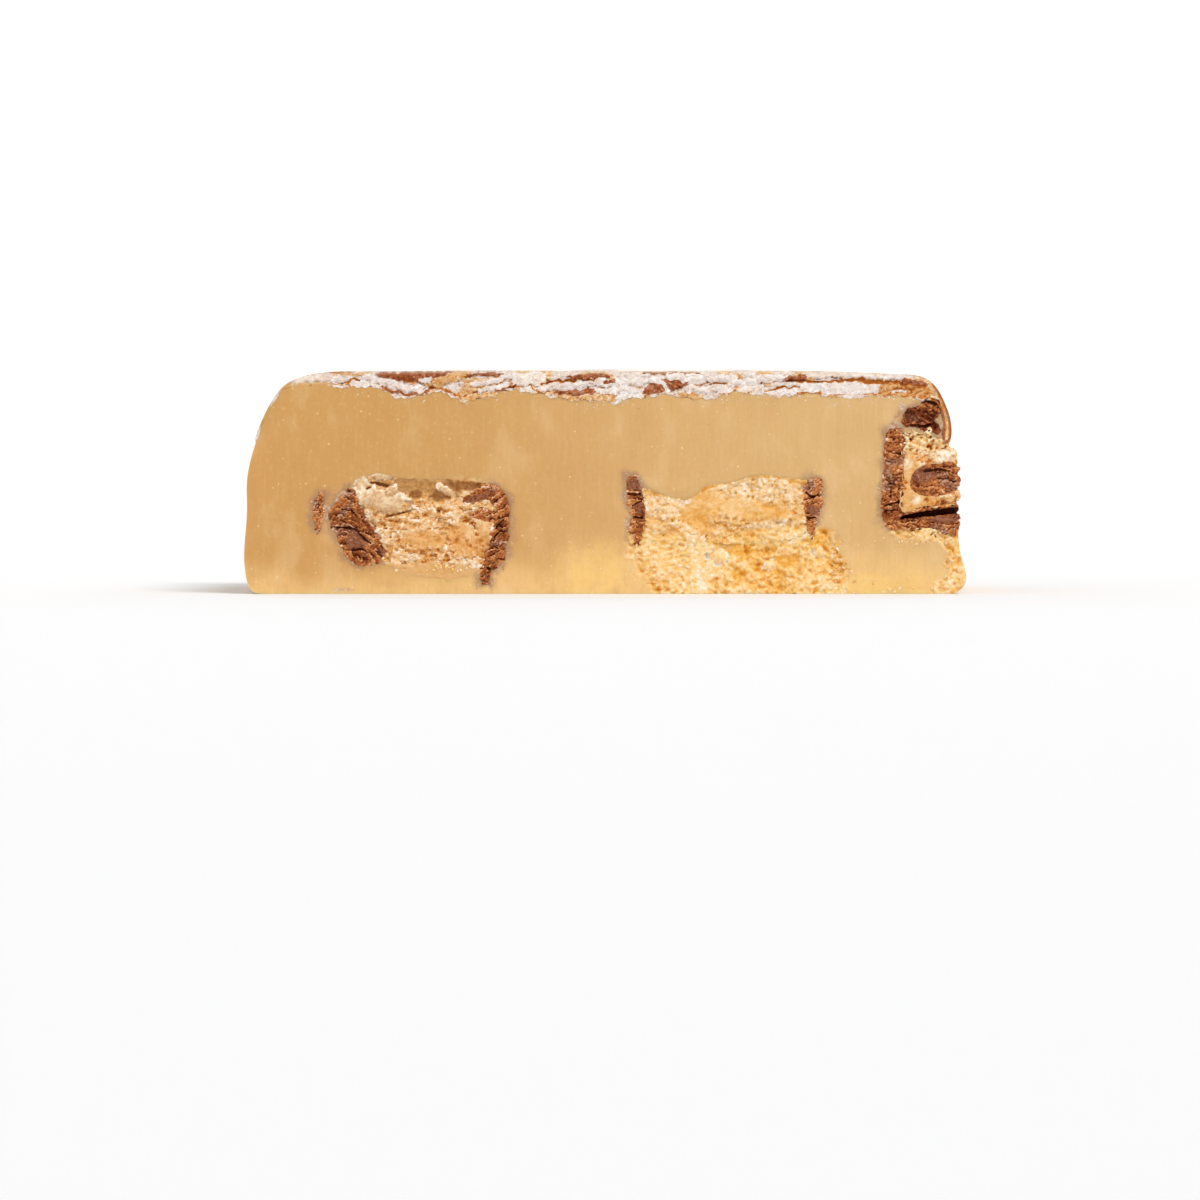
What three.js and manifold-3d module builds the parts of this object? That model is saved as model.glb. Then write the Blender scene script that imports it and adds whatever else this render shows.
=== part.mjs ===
// A slab of caramel fudge with three chocolate bars set in it and a marbled coat on top.
// Millimetres, +Z up, origin under the middle of the slab. The long side lies along X, the two knife
// cuts face -Y and +Y, and everything inside runs through from one cut to the other.
import * as THREE from "three";
import { mergeVertices } from "three/addons/utils/BufferGeometryUtils.js";
import Module from "manifold-3d";

const wasm = await Module();
wasm.setup();

// Driving dimensions.
const slab = { width: 72.2, depth: 36, height: 22.3 };
const coat = { skin: 0.5, cut: 2.1, lip: 15.2 }; // thickness on the sides, at the cut, height of its edge
const swirl = { height: 0.16, across: 3.1, along: 5.5 }; // waves left on the top by the spatula
const clearance = 0.3; // kept between neighbouring pieces
const overrun = 3; // how far a section runs past each cut before the cut trims it
const spacing = { slab: 2.1, coat: 1.8, piece: 1.15 }; // between the points of an outline
const bow = { side: 0.7, rise: 0.25 }; // how far the bars wander on their way through
const steps = { plain: 3, coat: 7 }; // stretches along a run
const torn = { depth: 0.85, crumb: 1.3, cell: 0.95 }; // where the fudge broke off and was not cut

const colours = {
  fudge: { color: 0xe0b072, roughness: 0.5, metalness: 0 },
  coat: { color: 0xe6d2bc, roughness: 0.35, metalness: 0 },
  chocolate: { color: 0x8c5a3c, roughness: 0.6, metalness: 0 },
  darkChocolate: { color: 0x5a3322, roughness: 0.55, metalness: 0 },
  cream: { color: 0xf2d3a0, roughness: 0.75, metalness: 0 },
  wafer: { color: 0xf3dfa6, roughness: 0.85, metalness: 0 },
};

const front = -slab.depth / 2;
const top = slab.height;

// ---- noise, the same on every run --------------------------------------------------------------

function hash(ix, iz, seed) {
  const s = Math.sin(ix * 127.1 + iz * 311.7 + seed * 74.7) * 43758.5453;
  return s - Math.floor(s);
}

// Smooth noise from -1 to 1.
function noise(x, z, seed) {
  const ix = Math.floor(x);
  const iz = Math.floor(z);
  const u = THREE.MathUtils.smoothstep(x - ix, 0, 1);
  const v = THREE.MathUtils.smoothstep(z - iz, 0, 1);
  const low = THREE.MathUtils.lerp(hash(ix, iz, seed), hash(ix + 1, iz, seed), u);
  const high = THREE.MathUtils.lerp(hash(ix, iz + 1, seed), hash(ix + 1, iz + 1, seed), u);
  return 2 * THREE.MathUtils.lerp(low, high, v) - 1;
}

// ---- outlines in the plane of the cut ----------------------------------------------------------

// A closed curve through a few [x, z] points.
function loop(points, step = spacing.piece) {
  const through = points.map(([x, z]) => new THREE.Vector3(x, z, 0));
  const curve = new THREE.CatmullRomCurve3(through, true, "centripetal");
  const count = Math.max(8, Math.round(curve.getLength() / step));
  const sampled = curve.getSpacedPoints(count).slice(0, count);
  return sampled.map((p) => new THREE.Vector2(p.x, Math.max(0, p.y)));
}

// A band along a path of [x, z, thickness].
function strip(path, step = spacing.piece) {
  const curve = new THREE.CatmullRomCurve3(path.map(([x, z, t]) => new THREE.Vector3(x, z, t)));
  const count = Math.max(2, Math.round(curve.getLength() / step));
  const left = [];
  const right = [];
  for (let i = 0; i <= count; i++) {
    const { x, y: z, z: thickness } = curve.getPointAt(i / count);
    const tangent = curve.getTangentAt(i / count);
    const across = new THREE.Vector2(-tangent.y, tangent.x).setLength(thickness / 2);
    left.push(new THREE.Vector2(x, z).add(across));
    right.unshift(new THREE.Vector2(x, z).sub(across));
  }
  return [...left, ...right];
}

// The same outline, moved outward by a distance.
function grow(outline, distance) {
  const turn = THREE.ShapeUtils.isClockWise(outline) ? -1 : 1;
  return outline.map((p, i) => {
    const before = outline[(i + outline.length - 1) % outline.length];
    const after = outline[(i + 1) % outline.length];
    const along = after.clone().sub(before).normalize();
    return new THREE.Vector2(p.x + turn * along.y * distance, p.y - turn * along.x * distance);
  });
}

function frameOf(outlines, margin) {
  const box = new THREE.Box2().setFromPoints(outlines.flat()).expandByScalar(margin);
  return [box.min.x, box.min.y, box.max.x, box.max.y];
}

// ---- solids ------------------------------------------------------------------------------------

function solidOf(geometry) {
  geometry.deleteAttribute("normal");
  geometry.deleteAttribute("uv");
  const merged = mergeVertices(geometry, 1e-4);
  return new wasm.Manifold(
    new wasm.Mesh({
      numProp: 3,
      vertProperties: new Float32Array(merged.attributes.position.array),
      triVerts: new Uint32Array(merged.index.array),
    }),
  );
}

function eachVertex(geometry, move) {
  const position = geometry.attributes.position;
  for (let i = 0; i < position.count; i++) {
    position.setXYZ(i, ...move(position.getX(i), position.getY(i), position.getZ(i)));
  }
}

// What runs through the slab wanders a little on its way. The base stays flat.
function wander(x, y, z) {
  const t = (y - front) / slab.depth;
  const side = bow.side * Math.sin(4.1 * t) * Math.cos(x / 23) * (0.4 + z / top);
  const rise = bow.rise * Math.sin(2.8 * t) * Math.sin(x / 9 + 1) * (z / top);
  return [x + side, y, z + rise];
}

// An outline drawn through the slab, from before one cut to past the other.
function run(outline, stretches = steps.plain, move = wander) {
  const length = slab.depth + 2 * overrun;
  const geometry = new THREE.ExtrudeGeometry(new THREE.Shape(outline), {
    depth: length,
    steps: stretches,
    bevelEnabled: false,
  });
  geometry.rotateX(Math.PI / 2);
  geometry.translate(0, length / 2, 0);
  eachVertex(geometry, move);
  return solidOf(geometry);
}

// The block between the two cuts, over one stretch of the section. relief(x, z, side) is how deep
// the broken surface lies behind the cut on that side. A plain knife cut has none.
function cutBlock([x0, z0, x1, z1], cell = Infinity, relief = () => 0) {
  const across = Math.max(1, Math.round((x1 - x0) / cell));
  const up = Math.max(1, Math.round((z1 - z0) / cell));
  const geometry = new THREE.BoxGeometry(x1 - x0, slab.depth, z1 - z0, across, 1, up);
  geometry.translate((x0 + x1) / 2, 0, (z0 + z1) / 2);
  eachVertex(geometry, (x, y, z) => [x, y - Math.sign(y) * relief(x, z, Math.sign(y)), z]);
  return solidOf(geometry);
}

// ---- broken surfaces ---------------------------------------------------------------------------

// Crumbly filling: soft hollows with crumbs on them.
function crumbly(depth, size, seed) {
  return (x, z, side) => {
    const hollow = noise(x / (size * 2.6), z / (size * 1.7), seed + side);
    const crumb = noise(x / size, z / (size * 0.8), seed + 5 + side);
    return depth * (0.55 + 0.45 * hollow + 0.4 * crumb);
  };
}

// Snapped chocolate: ledges that step across the piece in one direction.
function flaked(depth, pitch, angle, seed) {
  return (x, z, side) => {
    const along = x * Math.cos(angle) + z * Math.sin(angle) + 0.5 * noise(x, z, seed + side);
    const ledge = along / pitch - Math.floor(along / pitch);
    return depth * (ledge - 0.35 + 0.3 * noise(x * 1.7, z * 1.7, seed + 3 + side));
  };
}

// What broke off the fudge over one patch of a cut, side -1 for the front cut and 1 for the back.
function tornPatch([cx, cz, rx, rz], side) {
  const across = Math.round((2 * rx) / torn.cell);
  const up = Math.round((2 * rz) / torn.cell);
  const geometry = new THREE.BoxGeometry(2 * rx, 1, 2 * rz, across, 1, up);
  geometry.translate(cx, 0, cz);
  const crumbs = crumbly(torn.depth, torn.crumb, 11);
  eachVertex(geometry, (x, y, z) => {
    const edge = THREE.MathUtils.smoothstep(Math.hypot((x - cx) / rx, (z - cz) / rz), 0.6, 1);
    const depth = y * side > 0 ? -overrun : crumbs(x, z, side) - 2 * torn.depth * edge;
    return [x, side * (slab.depth / 2 - depth), z];
  });
  return solidOf(geometry);
}

// [centre x, centre z, reach x, reach z]
const tornPatches = [
  [12.8, 2.6, 10.6, 3.4], // under the middle bar
  [34.6, 2.4, 2.4, 3.4], // lower right corner
  [31.5, 5.2, 4.5, 1.4], // under the right bar
  [-17.5, 1.0, 5, 1.6], // under the left bar
];

// ---- the slab and its coat ---------------------------------------------------------------------

const slabOutline = loop(
  [
    [-35.4, 0.3], [-36.1, 2.8], [-35.85, 8.2], [-35.8, 11.8], [-34.3, 16.3], [-32.2, 20.2],
    [-28.5, 21.4], [0, 21.5], [29, 21.2], [33.2, 19.7], [34.0, 15.4], [35.1, 10], [35.4, 4.6],
    [36.05, 1.3], [34.8, 0], [15, 0], [-15, 0], [-34, 0],
  ],
  spacing.slab,
);

// How far the knife dragged the coat down at the cut: [x, half width, drop].
const drags = [
  [-28, 3, -0.9], [-13.5, 2.6, 0.55], [-8, 3, -0.55], [1.5, 4, 0.65], [13.5, 2.5, -0.35],
  [21, 7, 0.3],
];

function coatUnderside(x) {
  const sag = ([at, reach, drop]) => drop * Math.exp(-(((x - at) / reach) ** 2));
  return top - coat.cut - drags.reduce((sum, drag) => sum + sag(drag), 0);
}

function coatOutline() {
  const outside = [
    [-35.0, coat.lip], [-34.4, 17.0], [-32.3, 20.7], [-29.5, 22.1], [-20, top], [0, top],
    [27, top - 0.2], [32.3, 21.4], [34.2, 18.4], [34.6, 16.2], [34.35, coat.lip],
  ];
  const inside = [[33.75, coat.lip], [33.75, 17.2], [33, 19.2], [31.4, 19.9]];
  for (let x = 29; x > -29; x -= 2) inside.push([x, coatUnderside(x)]);
  inside.push([-31.2, 20.7], [-33.1, 18.4], [-34.2, 16.4], [-35 + coat.skin, coat.lip]);
  return loop([...outside, ...inside], spacing.coat);
}

function swirled(x, y, z) {
  const wave = Math.sin(x / swirl.across + 2.2 * Math.sin(y / swirl.along)) + 0.6 * Math.sin(y / 2.6);
  const [wx, wy, wz] = wander(x, y, z);
  return [wx, wy, z < top - 0.9 ? wz : wz + swirl.height * wave];
}

function makeCoat() {
  const outline = coatOutline();
  const ragged = cutBlock(frameOf([outline], 2), 1.5, crumbly(0.5, 1.5, 31));
  return run(outline, steps.coat, swirled).intersect(ragged);
}

// ---- the three bars: each piece is one or more outlines joined ---------------------------------

const leftBar = {
  chunk: [
    strip([
      [-25.4, 10.6, 0.4], [-26.1, 8.6, 1.7], [-25.8, 6.8, 2.9], [-24.2, 4.6, 2.9], [-22.9, 3.5, 1.8],
      [-22.0, 3.9, 0.5],
    ]),
  ],
  sliver: [strip([[-28.4, 10.0, 0.4], [-28.9, 8.0, 1.0], [-28.7, 5.7, 0.4]])],
  hook: [
    strip([
      [-14.3, 9.5, 0.7], [-13.0, 9.8, 1.2], [-11.5, 10.2, 1.7], [-10.5, 9.2, 1.5], [-10.3, 7.4, 1.6],
      [-10.6, 5.3, 1.8], [-11.2, 3.3, 1.7], [-11.8, 1.5, 0.8],
    ]),
    strip([[-13.3, 7.8, 0.6], [-12.2, 7.9, 1.3], [-10.5, 7.5, 1.2]]),
  ],
  filling: [
    loop([
      [-25.5, 11.2], [-23.0, 12.3], [-20.5, 11.7], [-17.5, 11.2], [-12.0, 10.9], [-10.6, 7.0],
      [-11.6, 3.0], [-14.5, 1.4], [-19.5, 1.7], [-22.6, 4.0], [-25.6, 8.4],
    ]),
  ],
};

const middleBar = {
  left_wall: [
    strip([[2.7, 11.7, 0.5], [2.9, 10.3, 1.4], [3.3, 8.2, 1.7], [3.3, 6.5, 1.7], [3.0, 4.9, 0.6]]),
  ],
  right_wall: [strip([[20.8, 11.5, 0.8], [20.7, 9.6, 1.6], [20.6, 7.9, 1.4], [20.5, 6.3, 0.5]])],
  filling: [
    loop([
      [3.2, 10.6], [8.6, 9.5], [11.0, 10.9], [15, 11.3], [20.4, 11.1], [20.6, 7.4], [19.4, 5.7],
      [11.5, 5.1], [3.6, 5.7],
    ]),
  ],
};

// The wall, and the floor whose slot opens to the slab's side.
const rightBar = {
  shell: [
    strip([[28.7, 16.6, 1.2], [29.0, 14.0, 2.0], [28.9, 11.2, 2.0], [28.7, 8.8, 2.0], [28.5, 7.2, 1.6]]),
    strip([[28.6, 8.2, 1.2], [31.4, 8.2, 0.7], [34.7, 8.7, 0.5]]),
    strip([[28.2, 7.2, 1.2], [31.0, 6.9, 0.9], [33.2, 6.9, 1.3], [35.2, 6.6, 1.5]]),
  ],
  cap: [
    loop([
      [29.7, 17.2], [30.1, 18.4], [31.9, 19.2], [33.1, 18.4], [33.3, 16.1], [31.5, 16.5],
    ]),
  ],
  wafer: [loop([[30.2, 15.4], [31.1, 16.1], [33.2, 15.4], [34.6, 14.4], [32.4, 14.0], [30.3, 14.2]])],
  cream: [
    loop([
      [30.4, 13.5], [32.5, 13.7], [34.8, 13.7], [34.9, 11.6], [35.0, 9.5], [32.6, 9.1], [30.4, 8.8],
      [30.25, 11.2],
    ]),
  ],
  roll: [loop([[31.0, 11.2], [31.8, 12.6], [33.6, 12.8], [35.0, 12.2], [34.8, 10.2], [32.2, 9.95]])],
};

// The hollow under the coat that the right bar's loose pieces lie in, open to the slab's side.
const rightMouth = loop([
  [29.3, 16], [29.2, 12], [29.3, 8], [33, 7.0], [37.2, 7.2], [37.4, 12], [37, 15.8], [34.2, 17],
  [32.6, 18.9], [30.4, 17.6],
]);

function runAll(outlines, growth = 0) {
  const drawn = outlines.map((outline) => run(growth ? grow(outline, growth) : outline));
  return drawn.reduce((whole, piece) => whole.add(piece));
}

// A bar's piece: its outlines drawn through, trimmed to its broken ends, less its neighbours.
function barPiece(outlines, cell, relief, neighbours = []) {
  const trimmed = runAll(outlines).intersect(cutBlock(frameOf(outlines, 1.5), cell, relief));
  return neighbours.reduce((left, other) => left.subtract(runAll(other, clearance)), trimmed);
}

function makeFudge() {
  const inside = [leftBar, middleBar, rightBar].flatMap((bar) => Object.values(bar));
  const whole = run(slabOutline).intersect(cutBlock(frameOf([slabOutline], 2)));
  const hollows = [[rightMouth], [coatOutline()], ...inside].map((hollow) => runAll(hollow, clearance));
  const broken = tornPatches.flatMap((patch) => [tornPatch(patch, -1), tornPatch(patch, 1)]);
  return [...hollows, ...broken].reduce((left, gone) => left.subtract(gone), whole);
}

// ---- put together ------------------------------------------------------------------------------

const { chunk, sliver, hook, filling: leftFilling } = leftBar;
const { left_wall: leftWall, right_wall: rightWall, filling: middleFilling } = middleBar;
const { shell, cap, wafer, cream, roll } = rightBar;

const pieces = {
  fudge_body: [makeFudge(), "fudge"],
  marbled_coat: [makeCoat(), "coat"],
  left_bar_chunk: [barPiece(chunk, 0.9, flaked(0.5, 2.1, -0.9, 41)), "chocolate"],
  left_bar_sliver: [barPiece(sliver, 1.2, flaked(0.2, 1.5, 1.4, 43)), "chocolate"],
  left_bar_hook: [barPiece(hook, 1.1, flaked(0.4, 1.9, 1.2, 47)), "chocolate"],
  left_bar_filling: [barPiece(leftFilling, 1.1, crumbly(1.0, 1.6, 53), [chunk, hook]), "cream"],
  middle_bar_left_wall: [barPiece(leftWall, 1.1, flaked(0.4, 1.7, 1.5, 59)), "chocolate"],
  middle_bar_right_wall: [barPiece(rightWall, 1.1, flaked(0.4, 1.6, 1.7, 61)), "chocolate"],
  middle_bar_filling: [
    barPiece(middleFilling, 1.1, crumbly(0.9, 1.6, 67), [leftWall, rightWall]),
    "cream",
  ],
  right_bar_shell: [barPiece(shell, 1.1, flaked(0.35, 1.8, 1.4, 71)), "chocolate"],
  right_bar_cap: [barPiece(cap, 1, crumbly(0.7, 1.2, 73)), "darkChocolate"],
  right_bar_wafer: [barPiece(wafer, 1, crumbly(0.8, 1, 79)), "wafer"],
  right_bar_cream: [barPiece(cream, 1.2, crumbly(0.5, 1.5, 83), [roll]), "cream"],
  right_bar_roll: [barPiece(roll, 1, crumbly(0.5, 1.1, 89)), "chocolate"],
};

// A cut can shave off a loose scrap, so the piece is the largest body.
function meshOf(name, solid, look) {
  const body = solid.decompose().sort((a, b) => b.volume() - a.volume())[0];
  const { vertProperties, triVerts } = body.getMesh();
  const geometry = new THREE.BufferGeometry();
  geometry.setAttribute("position", new THREE.BufferAttribute(vertProperties, 3));
  geometry.setIndex(new THREE.BufferAttribute(triVerts, 1));
  geometry.computeVertexNormals();
  const mesh = new THREE.Mesh(geometry, new THREE.MeshStandardMaterial(colours[look]));
  mesh.name = name;
  return mesh;
}

const fudgeSlab = new THREE.Group();
for (const [name, [solid, look]] of Object.entries(pieces)) {
  fudgeSlab.add(meshOf(name, solid, look));
}

export default fudgeSlab;
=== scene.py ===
import math
import random

import bmesh
import bpy
import numpy as np
from mathutils import Matrix, Vector, noise
from mathutils.geometry import interpolate_bezier


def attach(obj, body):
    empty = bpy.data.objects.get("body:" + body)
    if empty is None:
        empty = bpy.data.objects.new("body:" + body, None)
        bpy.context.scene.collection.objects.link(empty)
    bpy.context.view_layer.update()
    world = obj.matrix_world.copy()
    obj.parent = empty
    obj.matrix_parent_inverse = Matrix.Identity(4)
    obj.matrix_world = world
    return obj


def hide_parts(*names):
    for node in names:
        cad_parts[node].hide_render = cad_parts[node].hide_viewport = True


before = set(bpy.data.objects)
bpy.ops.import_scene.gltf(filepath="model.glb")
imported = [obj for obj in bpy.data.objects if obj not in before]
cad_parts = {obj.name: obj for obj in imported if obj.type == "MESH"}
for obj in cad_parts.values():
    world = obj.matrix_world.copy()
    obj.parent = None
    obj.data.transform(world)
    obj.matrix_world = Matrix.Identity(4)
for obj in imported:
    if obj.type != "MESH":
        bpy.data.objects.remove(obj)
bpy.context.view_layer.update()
print("frame loaded:", len(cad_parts), "nodes")

# The object is in millimetres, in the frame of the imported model, and is turned to metres when a mesh
# is finished; the stage is in metres. x runs along the slab, y from the front cut to the back, z up.
metres = 0.001
halfDepth = 18.0
slabTop = 22.3
proudest = -0.12  # nothing stands further out of a cut than this
outlineStep = 0.2
front, back = -1, 1
draft = 1.0  # coarser cells while trying things


# numbers

def mix(a, b, t):
    return a + (b - a) * t


def ramp(low, high, value):
    # 0 at low, 1 at high, eased; low may be the larger one
    t = min(1.0, max(0.0, (value - low) / (high - low)))
    return t * t * (3 - 2 * t)


def inNoise(x, z, size, seed):
    # where noise of a size is read; each seed has a layer of its own
    return Vector((x / size, z / size, seed * 1.7))


def wobble(x, z, size, seed):
    return noise.noise(inNoise(x, z, size, seed))


def grain(x, z, size, seed, octaves=3):
    return noise.fractal(inNoise(x, z, size, seed), 0.9, 2.1, octaves)


def crumb(x, z, size, seed):
    # packed crumbs, each a dome at its own height: 0 in the gaps, about 1 on the highest
    distances, centres = noise.voronoi(inNoise(x, z, size, seed))
    dome = math.sqrt(max(0.0, 1 - (distances[0] / 0.85) ** 2))
    return dome * (0.85 + 0.6 * noise.noise(centres[0] * 9.1))


def crumble(x, z, size, seed):
    # a broken, crumbly surface: about 0.2 in the gaps and 0.9 on the crests
    wx = x + 0.5 * size * grain(x, z, size, seed, 2)
    wz = z + 0.5 * size * grain(x, z, size, seed + 1, 2)
    coarse = crumb(wx, wz * 1.15, size, seed + 2)
    middle = crumb(wx, wz * 1.2, size * 0.42, seed + 3)
    crest = 1 - 1.7 * abs(grain(x, z * 1.3, size * 0.7, seed + 4))
    return 0.3 * coarse + 0.3 * middle + 0.4 * crest


def ledges(up, x, z, pitch, bend, seed):
    # shelves one above the other: 0 at the foot of one, 1 at its lip, and how strong it is there
    waves = wobble(x, z, 1.8, seed) + 0.6 * wobble(x, z, 0.6, seed + 1) + 0.3 * wobble(x, z, 0.22, seed + 2)
    across = (up + bend * waves) / pitch
    return across - math.floor(across), ramp(-0.35, 0.15, wobble(x, z * 1.5, 1.3, seed + 3))


def pores(x, z, size, seed):
    # small round holes: 1 in the middle of each
    return ramp(0.34, 0.16, noise.voronoi(inNoise(x, z, size, seed))[0][0])


def onStroke(x, z, path):
    # how far out a spot is of a stroke of (x, z, half width): 1 at its border; and whether it is below it
    best, below = 9.0, False
    for (ax, az, aw), (bx, bz, bw) in zip(path, path[1:]):
        sx, sz = bx - ax, bz - az
        t = min(1.0, max(0.0, ((x - ax) * sx + (z - az) * sz) / (sx * sx + sz * sz)))
        radius = math.hypot(x - ax - t * sx, z - az - t * sz) / mix(aw, bw, t)
        if radius < best:
            best, below = radius, z < az + t * sz
    return best, below


def fromCentre(x, z, place):
    # how far out of an ellipse (centre x, z, reach x, z, tilt) a spot is: 1 at its border
    cx, cz, rx, rz, tilt = place
    dx, dz = x - cx, z - cz
    c, s = math.cos(tilt), math.sin(tilt)
    return math.hypot((dx * c + dz * s) / rx, (dz * c - dx * s) / rz)


def inSpot(x, z, place, rough, seed):
    # 1 inside an ellipse with a broken edge, and how far out the spot is
    radius = fromCentre(x, z, place)
    if radius > 2:
        return 0.0, radius
    return ramp(1.1, 0.9, radius + rough * grain(x, z, 0.6, seed)), radius


def brokenSpot(x, z, place, seed):
    # an ellipse that fades out through its grain
    return ramp(1.45, 0.6, fromCentre(x, z, place) + 0.45 * grain(x, z, 0.8, seed))


def softSpots(x, z, places, low=1.3, high=0.6):
    # the strongest of some soft ellipses
    return max([ramp(low, high, fromCentre(x, z, place)) for place in places], default=0.0)


# outlines in the plane of the cut

def smoothCurve(points, step, closed):
    # a centripetal curve through a few points, resampled evenly
    pts = [Vector(p).to_3d() for p in points]
    count = len(pts)
    fine = []
    for i in range(count if closed else count - 1):
        b, c = pts[i], pts[(i + 1) % count]
        a = pts[i - 1] if closed or i > 0 else 2 * b - c
        d = pts[(i + 2) % count] if closed or i + 2 < count else 2 * c - b
        ab, bc, cd = ((v - u).length ** 0.5 for u, v in ((a, b), (b, c), (c, d)))
        leave = ab * ab * c - bc * bc * a + (2 * ab * ab + 3 * ab * bc + bc * bc) * b
        arrive = cd * cd * b - bc * bc * d + (2 * cd * cd + 3 * cd * bc + bc * bc) * c
        fine += interpolate_bezier(b, leave / (3 * ab * (ab + bc)), arrive / (3 * cd * (cd + bc)), c, 13)[:-1]
    fine.append(pts[0] if closed else pts[-1])
    fine = np.array([tuple(p) for p in fine])
    length = np.concatenate([[0], np.cumsum(np.linalg.norm(np.diff(fine, axis=0), axis=1))])
    at = np.linspace(0, length[-1], max(8, round(length[-1] / step)), endpoint=not closed)
    return np.stack([np.interp(at, length, fine[:, k]) for k in range(3)], axis=1)


def acrossOf(outline):
    # unit vectors square to an outline
    along = np.roll(outline, -1, axis=0) - np.roll(outline, 1, axis=0)
    along /= np.linalg.norm(along, axis=1, keepdims=True) + 1e-9
    return np.stack([along[:, 1], -along[:, 0]], axis=1)


def loop(*points, step=outlineStep):
    return smoothCurve(points, step, True)[:, :2]


def strip(*path):
    # a band along a path of (x, z, thickness)
    line = smoothCurve(path, outlineStep, False)
    along = np.gradient(line[:, :2], axis=0)
    along /= np.linalg.norm(along, axis=1, keepdims=True)
    across = np.stack([-along[:, 1], along[:, 0]], axis=1) * line[:, 2:] / 2
    return np.concatenate([line[:, :2] + across, (line[:, :2] - across)[::-1]])


def widened(outline, reach):
    x, z = outline[:, 0], outline[:, 1]
    turn = np.sign(np.sum(x * np.roll(z, -1) - z * np.roll(x, -1)))
    return outline + turn * reach * acrossOf(outline)


def ragged(outline, size, reach, seed):
    # the same outline with its edge broken
    push = np.array([grain(x, z, size, seed) for x, z in outline]) * reach
    return outline + acrossOf(outline) * push[:, None]


def nearest(outline, points):
    # distance from an outline, negative inside it, and the closest spot on it
    best = np.full(len(points), 1e9)
    spot = np.zeros_like(points)
    inside = np.zeros(len(points), bool)
    for a, b in zip(outline, np.roll(outline, -1, axis=0)):
        span = b - a
        t = np.clip((points - a) @ span / (span @ span + 1e-12), 0, 1)
        close = a + t[:, None] * span
        gap = np.linalg.norm(points - close, axis=1)
        closer = gap < best
        best[closer] = gap[closer]
        spot[closer] = close[closer]
        if a[1] != b[1]:
            level = (a[1] > points[:, 1]) != (b[1] > points[:, 1])
            inside ^= level & (points[:, 0] < span[0] * (points[:, 1] - a[1]) / span[1] + a[0])
    return np.where(inside, -best, best), spot


def nearestOfAll(outlines, holes, points):
    # the same from several outlines taken together, less their holes
    distance, spot = nearest(outlines[0], points)
    for outline, sign in [(o, 1) for o in outlines[1:]] + [(h, -1) for h in holes]:
        other, otherSpot = nearest(outline, points)
        other = sign * other
        takes = other < distance if sign > 0 else other > distance
        distance = np.where(takes, other, distance)
        spot[takes] = otherSpot[takes]
    return distance, spot


# meshes

def wander(x, y, z):
    # what runs through the slab strays a little on its way, and the base stays flat
    t = (y + halfDepth) / (2 * halfDepth)
    side = 0.7 * math.sin(4.1 * t) * math.cos(x / 23) * (0.4 + z / slabTop)
    rise = 0.25 * math.sin(2.8 * t) * math.sin(x / 9 + 1) * (z / slabTop)
    return x + side, z + rise


def flat(bm):
    return np.array([(v.co.x, v.co.z) for v in bm.verts])


def trimmedGrid(bm, outlines, holes, cell, finer):
    # a flat grid at the front cut, its edge drawn to the outlines, its cells halved once for each pair of
    # areas and rims that they lie in or near
    points = np.concatenate(outlines)
    low, high = points.min(axis=0) - cell, points.max(axis=0) + cell
    (width, height), (x, z) = high - low, (high + low) / 2
    place = Matrix.Translation((x, -halfDepth, z)) @ Matrix.Rotation(math.pi / 2, 4, "X")
    bmesh.ops.create_grid(
        bm,
        x_segments=round(width / cell),
        y_segments=round(height / cell),
        size=0.5,
        matrix=place @ Matrix.Diagonal((width, height, 1, 1)),
    )
    for areas, rims in finer:
        spots = flat(bm)
        near = np.min([nearest(area, spots)[0] for area in areas], axis=0) < cell
        if len(rims):
            near |= np.min([np.abs(nearest(rim, spots)[0]) for rim in rims], axis=0) < 1.5 * cell
        chosen = {v for v, n in zip(bm.verts, near) if n}
        edges = [e for e in bm.edges if all(v in chosen for v in e.verts)]
        bmesh.ops.subdivide_edges(bm, edges=edges, cuts=1, use_grid_fill=True)
    verts = list(bm.verts)
    snap = np.array([0.45 * min(e.calc_length() for e in v.link_edges) for v in verts])
    distance, spot = nearestOfAll(outlines, holes, flat(bm))
    outside = [v for v, d, s in zip(verts, distance, snap) if d > s]
    spots = {v: spot[i] for i, v in enumerate(verts) if distance[i] <= snap[i]}
    bmesh.ops.delete(bm, geom=outside, context="VERTS")
    stray = [v for v in bm.verts if not v.link_faces]
    bmesh.ops.delete(bm, geom=stray, context="VERTS")
    for vert in bm.verts:
        if vert.is_boundary:
            vert.co.x, vert.co.z = spots[vert]


def drawnThrough(bm, rings):
    # the front cut's faces drawn to the back cut, with rings between
    made = bmesh.ops.extrude_face_region(bm, geom=list(bm.faces), use_keep_orig=True)
    moved = [v for v in made["geom"] if isinstance(v, bmesh.types.BMVert)]
    bmesh.ops.translate(bm, verts=moved, vec=(0, 2 * halfDepth, 0))
    long = [e for e in bm.edges if abs(e.verts[0].co.y - e.verts[1].co.y) > halfDepth]
    bm.normal_update()
    through = set(long)
    for edge in bm.edges:
        edge.smooth = edge in through or all(abs(f.normal.y) > 0.5 for f in edge.link_faces)
    bmesh.ops.subdivide_edges(bm, edges=long, cuts=rings, use_grid_fill=True)
    bmesh.ops.recalc_face_normals(bm, faces=bm.faces)


def newObject(bm, name, material):
    # a smooth object made of a bmesh, which is used up
    mesh = bpy.data.meshes.new(name)
    bm.to_mesh(mesh)
    bm.free()
    mesh.polygons.foreach_set("use_smooth", [True] * len(mesh.polygons))
    mesh.materials.append(material)
    made = bpy.data.objects.new(name, mesh)
    bpy.context.scene.collection.objects.link(made)
    return made


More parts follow.
